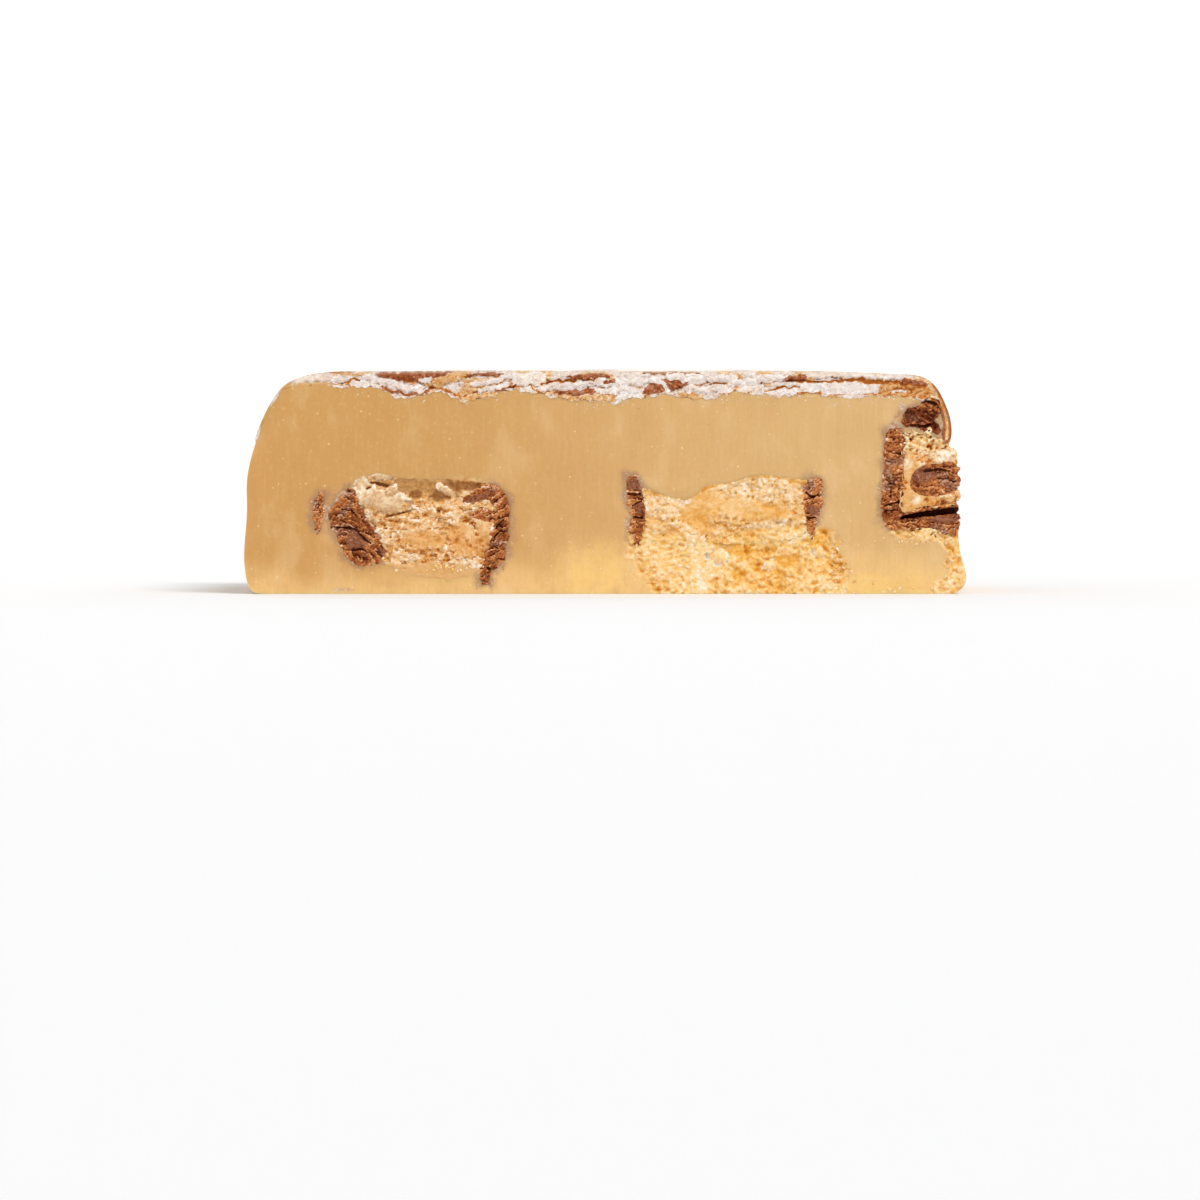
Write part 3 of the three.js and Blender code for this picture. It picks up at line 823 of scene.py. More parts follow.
def snapped(look):
    # chocolate that broke in ledges, one above the other; turn says how their slope changes along x
    middle = np.concatenate(look["outlines"]).mean(axis=0)
    angle, turn, pitch, deep, seed = (look[k] for k in ("angle", "turn", "pitch", "deep", "seed"))

    def relief(x, z, side, fromEdge):
        s = seed + 9 * side
        dx, dz = x - middle[0], z - middle[1]
        slope = angle + turn * dx + 0.2 * wobble(x, z, 2.5, s)
        up = dx * math.cos(slope) + dz * math.sin(slope)
        ledge, strong = ledges(up, x, z, pitch, 0.5, s + 1)
        thin, thinStrong = ledges(up, x, z, pitch * 0.42, 0.4, s + 5)
        rough, broad = grain(x, z, 0.35, s + 9), wobble(x, z, 1.6, s + 10)
        height = deep * (strong * ledge + 0.45 * thinStrong * thin) + 0.1 * rough + 0.35 * broad
        level = look["light"] + 0.2 * broad + 0.12 * rough
        # painted light and shade: each ledge's lip is lighter and its foot darker
        level += strong * (0.4 * ramp(0.65, 0.95, ledge) - 0.55 * ramp(0.25, 0.02, ledge))
        level += thinStrong * (0.36 * ramp(0.6, 0.95, thin) - 0.38 * ramp(0.3, 0.0, thin))
        grey = ramp(0.0, 0.4, wobble(x, z, 1.4, s + 12))
        crack = slot = 0.0
        for path in look["slots"]:
            slot = max(slot, ramp(1.25, 0.85, onStroke(x, z, path)[0] + 0.3 * rough))
        # the cracks are darkened with painted shade, and the chocolate just above each one is lightened with
        # painted light
        if side == front:
            for path in look["cracks"]:
                reach, below = onStroke(x, z, path)
                reach += 0.5 * rough
                crack = max(crack, ramp(1.2, 0.7, reach))
                if not below:
                    level += 0.3 * ramp(2.6, 1.6, reach) * (1 - ramp(1.3, 0.9, reach))
            level += 0.1 * softSpots(x, z, look["crumbly"])
            for place in look["frost"]:
                m = inSpot(x, z, place, 0.5, s)[0]
                level, grey = mix(level, 1.05, m), grey * (1 - m)
            for place in look["smooth"]:
                m = inSpot(x, z, place, 0.3, s)[0]
                level, grey = mix(level, 0.4, m), mix(grey, 1.0, m)
                height = mix(height, 0.3 + 0.1 * broad, m * 0.7)
        rim = ramp(0.3, 0.05, -fromEdge) * ramp(-0.1, 0.3, wobble(x, z, 0.5, s + 11))
        # the cracks and the slot are darkened here with painted shade
        level = mix(mix(level + 0.25 * rim, -0.1, crack), -0.2, slot)
        # its rim stands a little proud of the fudge
        sunk = mix(look["sunk"] - height + 0.3 * crack, -0.04, ramp(0.5, 0.15, -fromEdge) * (1 - crack))
        return max(proudest, mix(sunk, look["slotDepth"], slot)), (level, grey)

    return relief


# what holds for a chocolate unless it says otherwise; cracks and slots are paths of (x, z, half width), and
# crumbly, frost and smooth are ellipses
usualChocolate = {
    "finish": "chocolate", "slot": "milk_chocolate", "cell": 0.1, "turn": 0, "light": 0.48, "sunk": 0.24,
    "cracks": (), "slots": (), "slotDepth": 1.8, "crumbly": (), "frost": (), "smooth": (),
}
chocolates = {
    "leftChunk": {
        "node": "left_bar_chunk", "outlines": leftBar["chunk"], "rings": 8,
        "angle": 1.2, "turn": -0.13, "pitch": 0.8, "deep": 0.36, "seed": 41, "light": 0.53,
        "cracks": [[(-27.0, 6.6, 0.08), (-25.5, 6.65, 0.1), (-24.9, 6.4, 0.1), (-24.1, 5.5, 0.08),
                    (-23.2, 4.9, 0.06)],
                   [(-25.3, 4.4, 0.12), (-24.2, 4.5, 0.08)],
                   [(-26.4, 8.5, 0.05), (-25.3, 8.3, 0.06), (-24.8, 7.6, 0.05)]],
        "frost": [(-23.8, 5.3, 0.5, 0.22, -0.5)],
        "smooth": [(-24.9, 5.2, 1.2, 0.9, 0.0), (-22.4, 4.3, 0.4, 0.4, 0.0)],
    },
    "leftSliver": {
        "node": "left_bar_sliver", "outlines": leftBar["sliver"], "rings": 6,
        "angle": 1.6, "pitch": 0.55, "deep": 0.25, "seed": 43, "light": 0.6,
    },
    "leftHook": {
        "node": "left_bar_hook", "outlines": leftBar["hook"], "rings": 8,
        "angle": 2.0, "turn": 0.02, "pitch": 0.75, "deep": 0.36, "seed": 47, "light": 0.42,
        "cracks": [[(-13.9, 8.9, 0.05), (-12.6, 9.2, 0.1), (-11.7, 9.0, 0.1), (-10.9, 8.4, 0.05)],
                   [(-11.5, 5.4, 0.05), (-10.4, 6.4, 0.08)], [(-11.3, 6.4, 0.05), (-10.2, 7.4, 0.08)],
                   [(-11.8, 2.6, 0.1), (-11.2, 2.3, 0.06)]],
        "frost": [(-13.8, 10.1, 0.5, 0.15, 0.3), (-12.2, 10.7, 0.5, 0.12, 0.1), (-12.3, 3.2, 0.12, 0.5, 0)],
        "smooth": [(-12.9, 9.6, 1.3, 0.35, 0.3)],
    },
    "middleLeftWall": {
        "node": "middle_bar_left_wall", "outlines": middleBar["leftWall"], "rings": 6,
        "angle": 1.5, "pitch": 0.9, "deep": 0.32, "seed": 59,
        "cracks": [[(1.7, 10.1, 0.1), (2.9, 9.95, 0.12), (4.0, 10.0, 0.06)],
                   [(2.3, 7.7, 0.12), (4.2, 7.6, 0.1)], [(2.6, 8.8, 0.05), (3.6, 9.3, 0.08)]],
        "smooth": [(2.8, 11.0, 0.6, 0.6, 0), (3.4, 8.6, 0.5, 0.7, 0)],
    },
    "middleRightWall": {
        "node": "middle_bar_right_wall", "outlines": middleBar["rightWall"], "rings": 6,
        "angle": 1.8, "pitch": 0.7, "deep": 0.34, "seed": 61, "light": 0.54,
        "cracks": [[(20.0, 10.2, 0.08), (20.6, 9.7, 0.12), (21.3, 9.9, 0.06)],
                   [(19.9, 7.7, 0.08), (21.0, 7.6, 0.06)]],
        "smooth": [(20.7, 8.4, 0.6, 0.5, 0)],
    },
    "rightShell": {
        "node": "right_bar_shell", "outlines": rightBar["shell"], "cell": 0.11, "rings": 12,
        "angle": 1.5, "pitch": 0.62, "deep": 0.32, "seed": 71, "light": 0.44,
        "cracks": [[(27.9, 8.8, 0.06), (28.9, 9.1, 0.1), (29.8, 9.4, 0.1)],
                   [(27.4, 8.35, 0.1), (29.2, 8.4, 0.08)], [(28.2, 11.0, 0.08), (28.9, 11.0, 0.1)],
                   [(28.5, 10.7, 0.06), (28.5, 9.7, 0.08)], [(28.3, 14.2, 0.05), (29.6, 14.0, 0.08)]],
        "slots": [[(29.6, 7.6, 0.14), (31.6, 7.95, 0.24), (33.0, 8.1, 0.26), (35.6, 8.45, 0.3)]],
        "smooth": [(33.8, 7.4, 1.4, 0.3, 0.0)],
    },
    "rightCap": {
        "node": "right_bar_cap", "outlines": rightBar["cap"], "rings": 12,
        "finish": "darkChocolate", "slot": "dark_chocolate",
        "angle": 0.9, "pitch": 1.2, "deep": 0.5, "seed": 73,
        "cracks": [[(30.4, 16.9, 0.08), (31.8, 16.75, 0.12), (32.5, 17.0, 0.08)]],
    },
    "rightRoll": {
        "node": "right_bar_roll", "outlines": rightBar["roll"], "rings": 12,
        "angle": 1.4, "pitch": 0.7, "deep": 0.35, "seed": 89, "sunk": 0.06, "light": 0.42,
        "cracks": [[(31.9, 12.3, 0.12), (33.2, 12.45, 0.14), (34.4, 12.3, 0.06)]],
        "smooth": [(31.7, 11.9, 1.3, 0.8, 0.2)], "crumbly": [(33.9, 11.2, 1.9, 1.3, 0.1)],
    },
}


def brokenSide(name, reach, tones):
    # the right bar's pieces are broken at the slab's open side too
    def skin(x, y, z, normal):
        out = ramp(0.2, 0.8, normal.x) * ramp(31, 33, x)
        push = out * reach * noise.fractal(Vector((x / 1.2, y / 1.6, z / 0.9)), 0.8, 2.2, 4)
        # painted shade: what the broken side pushes in is darker, what it pushes out lighter
        return push, [0.45 + out * 0.7 * push / reach] + [0.0] * (len(tones) - 1)

    return skin if name.startswith("right") else None


chocolateTones = ("level", "grey")
for name, own in chocolates.items():
    look = usualChocolate | own
    look["fields"] = [look["outlines"]]
    look["outlines"] = [ragged(o, 0.5, 0.32, look["seed"]) for o in look["outlines"]]
    makeSection(name, look, snapped(look), chocolateTones, brokenSide(name, 0.35, chocolateTones))


# fillings

# what holds for a filling unless it says otherwise; rim is how deep its edge lies, shelves holds the pitch
# and the height of its shelves, edge is a path of (x, z, half width) along which a painted shadow darkens
# it, and smooth, porous and frosty are ellipses
usualFilling = {
    "finish": "cream", "slot": "cream_filling", "cell": 0.11, "rings": 8, "rim": -0.02, "melts": 0,
    "hollows": (), "lumps": (), "dots": (), "edge": (), "tornBelow": (),
    "smooth": (), "porous": (), "frosty": (),
}
fillings = {
    "leftCream": {
        "node": "left_bar_filling", "outlines": leftBar["filling"], "holes": leftBar["chunk"] + leftBar["hook"],
        "seed": 53, "deep": 0.9, "size": 1.0, "shelves": (1.15, 0.5), "rim": 0.04,
        "melts": 0.9,  # how far in from its rim it goes over into the fudge
        # amber hollows, among them thin dark cracks that carry painted shadow between and beneath the lumps:
        # ellipse, depth, light
        "hollows": [((-18.0, 11.0, 4.4, 1.0, -0.05), 0.2, 0.7), ((-19.0, 9.9, 0.6, 0.4, 0.2), 0.4, 0.35),
                    ((-16.6, 9.8, 1.1, 0.6, 0.2), 0.4, 0.3), ((-14.2, 10.8, 1.8, 0.5, -0.1), 0.3, 0.3),
                    ((-23.8, 10.5, 0.6, 0.2, 0.1), 0.5, -0.2), ((-22.5, 10.95, 0.9, 0.14, -0.2), 0.5, -0.2),
                    ((-20.8, 8.0, 1.4, 0.1, 0.25), 0.4, 0.1), ((-12.4, 10.9, 0.8, 0.3, -0.1), 0.3, 0.35)],
        # smooth pale lumps, with a bright upper rim that is partly frost and partly painted light, and painted
        # shade towards their lower edge: ellipse, depth
        "lumps": [((-24.8, 11.6, 0.7, 0.5, 0.3), 0.0), ((-22.1, 11.8, 1.3, 0.45, 0.05), 0.0),
                  ((-24.4, 10.9, 1.0, 0.7, 0.2), 0.1), ((-22.3, 9.4, 2.9, 1.15, -0.2), -0.05),
                  ((-21.4, 10.3, 0.8, 0.55, 0.6), 0.0), ((-15.9, 10.3, 1.2, 0.4, -0.55), 0.0)],
        "smooth": [(-18.0, 5.5, 2.2, 0.8, -0.1), (-14.2, 5.4, 1.4, 1.8, 0.4), (-12.2, 6.3, 0.7, 1.3, 0)],
        "frosty": [(-23.6, 7.4, 3.2, 0.5, -1.05), (-19.3, 3.6, 1.0, 0.5, 0.2), (-14.0, 2.9, 1.6, 0.8, -0.1)],
        "dots": [(-12.9, 5.9), (-13.8, 5.3), (-12.5, 5.2), (-16.7, 4.4), (-15.9, 3.9), (-15.3, 4.1),
                 (-14.8, 5.45), (-13.5, 4.8), (-18.0, 3.8), (-17.5, 3.75), (-17.0, 3.85)],
    },
    "middleCream": {
        "node": "middle_bar_filling", "outlines": middleBar["filling"],
        "holes": middleBar["leftWall"] + middleBar["rightWall"],
        "seed": 67, "deep": 0.7, "size": 0.95, "shelves": (1.6, 0.25),
        "smooth": [(9.6, 8.6, 2.4, 1.5, 0.4), (14.5, 8.4, 4.2, 0.9, -0.1), (9.0, 7.4, 1.8, 0.9, -0.5)],
        "porous": [(15.8, 10.6, 4.2, 1.3, 0.0), (5.8, 8.6, 2.0, 1.2, 0.0)],
        "frosty": [(16.5, 7.0, 3.0, 0.4, 0.1), (8.0, 9.2, 0.8, 0.3, 0.2)],
        # it goes over into torn fudge below this line, and is yellow like it above
        "tornBelow": [(3, 6.9), (7, 6.4), (9.5, 5.6), (11.5, 5.2), (13.5, 6.6), (20, 7.3)], "yellow": 0.5,
        "edge": [(3.9, 10.4, 0.1), (5.9, 10.0, 0.14), (7.5, 9.65, 0.22), (8.3, 9.7, 0.16), (9.5, 10.25, 0.1),
                 (11.3, 11.0, 0.06), (12.0, 11.05, 0.05), (14.4, 11.8, 0.1), (17, 11.7, 0.08),
                 (20, 11.0, 0.12)],
    },
    "rightCream": {
        "node": "right_bar_cream", "outlines": rightBar["cream"], "holes": rightBar["roll"], "rings": 12,
        "seed": 83, "deep": 0.35, "size": 1.3, "shelves": (1.5, 0.15),
        "smooth": [(31.0, 9.2, 2.2, 1.2, 0.0), (30.3, 12, 0.9, 2.2, 0)],
        "frosty": [(33.6, 13.8, 1.7, 0.6, -0.1), (31.0, 9.4, 0.7, 0.5, 0), (30.2, 13.0, 0.6, 0.6, 0)],
        "dots": [(32.0, 9.4), (32.2, 9.3), (33.2, 9.1), (30.0, 11.2), (29.9, 10.5)],
    },
}


def crumbled(look):
    # a filling that broke into crumbs and shelves
    seed, deep, size = look["seed"], look["deep"], look["size"]
    pitch, shelf = look["shelves"]

    def relief(x, z, side, fromEdge, fromHole):
        s = seed + 9 * side
        height = crumble(x / 1.25, z, size, s)
        ledge, strong = ledges(z + 0.1 * x, x, z, pitch, 0.8, s + 6)
        rough, broad = grain(x, z, 0.35, s + 11), wobble(x, z, 2.0, s + 15)
        calm = softSpots(x, z, look["smooth"], 1.25, 0.7) * (1 if side == front else 0.6)
        porous = softSpots(x, z, look["porous"], 1.2, 0.8)
        loose = 0.7 * ramp(0.0, 0.25, wobble(x, z, 1.8, s + 13)) * (1 - calm)
        holes = pores(x, z, 0.6, s + 12) * max(porous, loose)
        height += shelf * strong * (ledge - 0.5) * (1 - porous)
        height = mix(height, 0.58 + 0.12 * rough + 0.3 * wobble(x, z, 1.1, s + 17), calm * 0.85)
        sunk = 0.8 * deep * (0.9 - height - 0.45 * broad + 0.3 * holes) - 0.2
        # painted shade and light: pits and pores are darker, crests lighter
        level = 0.15 + 0.6 * height + 0.16 * broad - 0.25 * holes - 0.1 * calm
        level = mix(level, 0.46 + 0.36 * crumb(x, z, 0.5, s + 18) - 0.4 * holes, porous)
        # painted light and shade: each shelf's lip is lighter and its foot darker
        lips = 0.2 * ramp(0.7, 0.98, ledge) - 0.3 * ramp(0.2, 0.0, ledge)
        level += (1 - calm) * (1 - porous) * strong * lips
        pale = amber = fade = torn = 0.0
        roughness = 1 - 0.8 * calm
        if side == front:
            icy = softSpots(x, z, look["frosty"], 1.2, 0.6)
            level += 0.3 * icy * (0.6 + rough)
            pale = 0.8 * icy
            for place, reach, light in look["hollows"]:
                m = brokenSpot(x, z, place, s)
                sunk, level, amber = mix(sunk, reach + 0.1 * rough, m), mix(level, light, m), max(amber, m)
            for place, reach in look["lumps"]:
                m, radius = inSpot(x, z, place, 0.5, s + 9)
                edge = radius + 0.4 * grain(x, z, 0.6, s + 9)
                # painted shade darkens each lump towards its lower edge, and painted light brightens its upper
                # rim along with its frost
                dome = 0.35 * radius ** 2 * (1 if z < place[1] else 0.3)
                sunk = mix(sunk, reach + dome + 0.06 * rough, m)
                level = mix(level, 0.48 - 0.4 * dome + 0.45 * ramp(0.65, 0.95, edge) * (z > place[1]), m)
                amber, pale = mix(amber, 0, m), mix(pale, 1, m)
                roughness = mix(roughness, 0.35, m)
            for dx, dz in look["dots"]:
                dot = ramp(0.28, 0.1, math.hypot(x - dx, z - dz) + 0.1 * rough)
                level, sunk = mix(level, 0.05, dot), sunk + 0.12 * dot
            if look["edge"]:
                # a painted shadow along the filling's upper edge, where the fudge folds over it
                line = ramp(1.5, 0.6, onStroke(x, z, look["edge"])[0] + 0.5 * rough)
                level = mix(level, 0.2, line * 0.8)
        sunk = mix(sunk, look["rim"], ramp(0.5, 0.2, -fromEdge)) + 0.5 * ramp(-0.1, -0.27, fromHole)
        if look["melts"]:
            fade = ramp(look["melts"], 0.0, -fromEdge + 0.3 * grain(x, z, 0.7, s + 16)) * (1 - pale)
            fade = max(fade, ramp(4.0, 2.2, z + 0.6 * rough + 0.7 * broad))
            sunk = mix(sunk, 0.02 + 0.06 * rough, fade)
            fade *= 1 - 0.2 * amber
        if look["tornBelow"]:
            torn = ramp(0.6, -0.6, z - np.interp(x, *zip(*look["tornBelow"])) + 1.1 * broad + 0.4 * rough)
            tornDepth, tornLevel = tornSurface(x, z, 11 + 9 * side)
            sunk, level = mix(sunk, tornDepth, torn), mix(level, tornLevel, torn)
            torn = max(torn, look["yellow"])
        return max(proudest, sunk), (level, roughness, pale, amber, fade, torn)

    return relief


fillingTones = ("level", "rough", "pale", "amber", "fade", "torn")
for name, own in fillings.items():
    look = usualFilling | own
    look["fields"] = [look["outlines"], look["holes"]]
    look["outlines"] = [ragged(o, 0.45, 0.26, look["seed"]) for o in look["outlines"]]
    look["holes"] = [widened(h, -0.3) for h in look["holes"]]
    makeSection(name, look, crumbled(look), fillingTones, brokenSide(name, 0.3, fillingTones))


def honeycomb(x, z, side, fromEdge):
    # the wafer's crumb, with open pores, darker in its pits with painted shade and lighter on its crests with
    # painted light
    height = crumble(x, z, 0.9, 81 + 9 * side) - 0.5 * pores(x, z, 0.5, 79 + side)
    return 0.75 - height, (0.1 + 0.8 * height,)


wafer = {
    "node": "right_bar_wafer", "slot": "wafer_crumb", "finish": "wafer", "cell": 0.1, "rings": 12,
    "outlines": [ragged(o, 0.6, 0.25, 5) for o in rightBar["wafer"]], "fields": [rightBar["wafer"]],
}
waferTones = ("level",)
makeSection("rightWafer", wafer, honeycomb, waferTones, brokenSide("rightWafer", 0.4, waferTones))


# the marbled coat

coat = {
    "node": "marbled_coat", "slot": "marbled_chocolate", "finish": "coat", "cell": 0.11, "rings": 44,
    "lip": 15.2,  # how far down it reaches at both corners
    "skins": (-30.8, 32.0),  # from where it is a thin skin, on the left and on the right
    # what is left of it at the left corner: ellipse
    "slivers": [(-33.0, 19.75, 1.1, 0.25, 1.04), (-34.8, 15.9, 0.9, 0.25, 1.3)],
    # lobes of the coat at the front cut, drawn one over the other, each with a lighter rim, partly frost and
    # partly painted light that is brighter on its upper side, and a painted shadow just beneath it: kind, path
    # of x, z, half width
    "lobes": [
        ("tan", [(-27.5, 22.0, 0.2), (-23.6, 22.0, 0.2)]),
        ("ivory", [(-30.8, 21.2, 0.35), (-29.2, 21.4, 0.45), (-27.6, 21.6, 0.4)]),
        ("white", [(-27.0, 21.5, 0.35), (-25.6, 21.5, 0.4)]),
        ("white", [(-25.4, 21.1, 0.35), (-24.0, 21.0, 0.35)]),
        ("dark", [(-22.9, 22.0, 0.15), (-20.6, 21.7, 0.5), (-18.0, 21.8, 0.5), (-15.2, 22.15, 0.15)]),
        ("tan", [(-17.2, 21.0, 0.4), (-15.6, 21.6, 0.45), (-13.8, 22.0, 0.3)]),
        ("white", [(-24.0, 21.7, 0.3), (-21.8, 21.1, 0.4), (-19.9, 20.5, 0.45), (-18.6, 20.5, 0.35)]),
        ("white", [(-18.6, 21.3, 0.2), (-17.4, 21.4, 0.25)]),
        ("dark", [(-22.6, 20.7, 0.08), (-20.8, 20.1, 0.16), (-19.5, 19.8, 0.12), (-17.7, 20.3, 0.08)]),
        ("tan", [(-14.4, 20.2, 0.4), (-12.6, 21.0, 0.4), (-10.4, 21.5, 0.35)]),
        ("dark", [(-13.6, 21.9, 0.15), (-11.4, 22.0, 0.2), (-9.8, 21.8, 0.1)]),
        ("white", [(-13.2, 20.9, 0.25), (-11.2, 21.3, 0.25), (-8.8, 21.9, 0.2)]),
        ("tan", [(-14.4, 19.4, 0.3), (-12.0, 19.8, 0.35)]),
        ("white", [(-12.6, 20.3, 0.2), (-9.6, 21.0, 0.2)]), ("dark", [(-11.2, 20.3, 0.12), (-8.8, 20.9, 0.12)]),
        ("ivory", [(-8.6, 21.4, 0.7), (-6.4, 21.5, 0.6)]), ("ivory", [(-7.6, 20.4, 0.35), (-6.3, 20.3, 0.3)]),
        ("dark", [(-4.0, 21.7, 0.12), (-1.6, 21.8, 0.3), (0.3, 21.85, 0.2)]),
        ("white", [(-6.6, 20.5, 0.3), (-5.0, 20.9, 0.4), (-2.6, 20.8, 0.4), (-1.2, 21.0, 0.3)]),
        ("dark", [(-4.9, 20.2, 0.2), (-2.9, 20.1, 0.3), (-1.0, 20.3, 0.2)]),
        ("tan", [(-2.4, 19.6, 0.35), (0.6, 19.8, 0.4)]),
        ("white", [(-1.4, 21.3, 0.35), (1.2, 21.0, 0.4), (3.8, 21.3, 0.35)]),
        ("dark", [(-0.2, 21.2, 0.15), (0.9, 21.3, 0.15)]),
        ("white", [(-0.6, 20.3, 0.3), (2.0, 20.4, 0.35), (3.8, 20.3, 0.3)]),
        ("white", [(1.0, 19.5, 0.25), (2.2, 19.8, 0.35), (3.6, 19.8, 0.2)]),
        ("dark", [(4.2, 20.1, 0.25), (5.2, 20.9, 0.7), (7.0, 21.1, 0.6)]),
        ("dark", [(3.8, 22.05, 0.12), (9.4, 22.05, 0.1)]),
        ("white", [(4.4, 21.5, 0.25), (5.4, 21.2, 0.3), (6.2, 20.4, 0.3)]),
        ("white", [(6.2, 21.8, 0.3), (8.0, 21.5, 0.5), (9.8, 21.4, 0.45)]),
        ("dark", [(6.6, 20.5, 0.12), (8.2, 21.2, 0.12)]), ("tan", [(7.6, 19.9, 0.35), (9.2, 19.7, 0.3)]),
        ("white", [(8.4, 20.5, 0.4), (10.6, 20.3, 0.35)]), ("white", [(10.4, 21.6, 0.4), (13.0, 21.6, 0.4)]),
        ("white", [(10.8, 20.6, 0.4), (12.4, 20.5, 0.4)]), ("white", [(12.6, 21.0, 0.35), (15.0, 21.2, 0.4)]),
        ("ivory", [(13.4, 20.4, 0.3), (15.2, 20.6, 0.3)]), ("white", [(15.4, 21.5, 0.4), (17.8, 21.6, 0.35)]),
        ("ivory", [(20.0, 21.9, 0.25), (26.4, 21.8, 0.25)]), ("dark", [(17.9, 21.5, 0.25), (19.6, 21.7, 0.35)]),
        ("lilac", [(18.4, 20.7, 0.5), (21.0, 20.7, 0.6), (25.0, 20.6, 0.65), (27.8, 20.6, 0.4)]),
        ("white", [(15.9, 20.0, 0.25), (17.4, 20.2, 0.35), (19.1, 20.3, 0.15)]),
        ("orange", [(27.8, 20.4, 0.5), (30.0, 20.6, 0.7), (32.6, 20.2, 0.6)]),
        ("white", [(26.6, 21.7, 0.25), (29.6, 21.7, 0.3)]),
        ("dark", [(29.7, 21.3, 0.3), (32.0, 21.0, 0.3)]), ("white", [(28.8, 20.2, 0.12), (30.4, 20.3, 0.1)]),
    ],
    # thin golden cracks between them, darkened with painted shade
    "cracks": [
        [(-26.4, 21.0, 0.06), (-25.2, 21.5, 0.12), (-24.6, 21.3, 0.06)],
        [(-17.6, 20.5, 0.06), (-16.4, 20.7, 0.1), (-15.2, 20.1, 0.12), (-14.5, 19.5, 0.08)],
        [(-7.8, 20.9, 0.04), (-6.6, 20.1, 0.08)], [(-6.4, 21.1, 0.06), (-3.8, 21.4, 0.1), (-1.2, 21.5, 0.08)],
        [(15.9, 20.3, 0.05), (17.9, 20.7, 0.1), (19.4, 20.6, 0.05)], [(10.2, 20.9, 0.04), (11.8, 21.1, 0.08)],
        [(18.0, 21.3, 0.1), (20.2, 21.3, 0.12), (22.1, 21.2, 0.1), (25.1, 21.4, 0.16), (27.0, 21.1, 0.18),
         (29.4, 21.1, 0.12)],
        [(29.0, 20.5, 0.06), (30.6, 20.4, 0.12), (32.0, 20.6, 0.06)], [(19.4, 20.05, 0.06), (21.4, 20.1, 0.1)],
    ],
    # how light, how brown and how tan each kind of lobe is
    "kinds": {"white": (0.6, 0, 0), "lilac": (0.56, 0, 0), "ivory": (0.68, 0, 0.45), "tan": (0.46, 0, 1),
              "orange": (0.26, 0, 1), "dark": (0.42, 1, 0)},
}


def coatOutline():
    outside = [(-35.0, coat["lip"]), (-34.5, 17.0), (-32.4, 20.6), (-29.8, 21.9), (-20, slabTop), (0, slabTop),
               (27, slabTop - 0.2), (32.3, 21.4), (34.2, 18.4), (34.6, 16.2), (34.35, coat["lip"])]
    inside = [(33.75, coat["lip"]), (33.75, 17.2), (33, 19.2)] + [tuple(p) for p in coatFoot[::-1]]
    inside += [(-32.5, 19.9), (-34.0, 17.2), (-34.6, coat["lip"])]
    outline = loop(*outside, *inside)
    # its lower edge at the cut is torn
    torn = ragged(outline, 0.6, 0.42, 12)
    low = np.array([ramp(21.6, 21.2, z) * ramp(-31, -29.5, x) * ramp(32, 30.5, x) for x, z in outline])
    return outline + (torn - outline) * low[:, None]


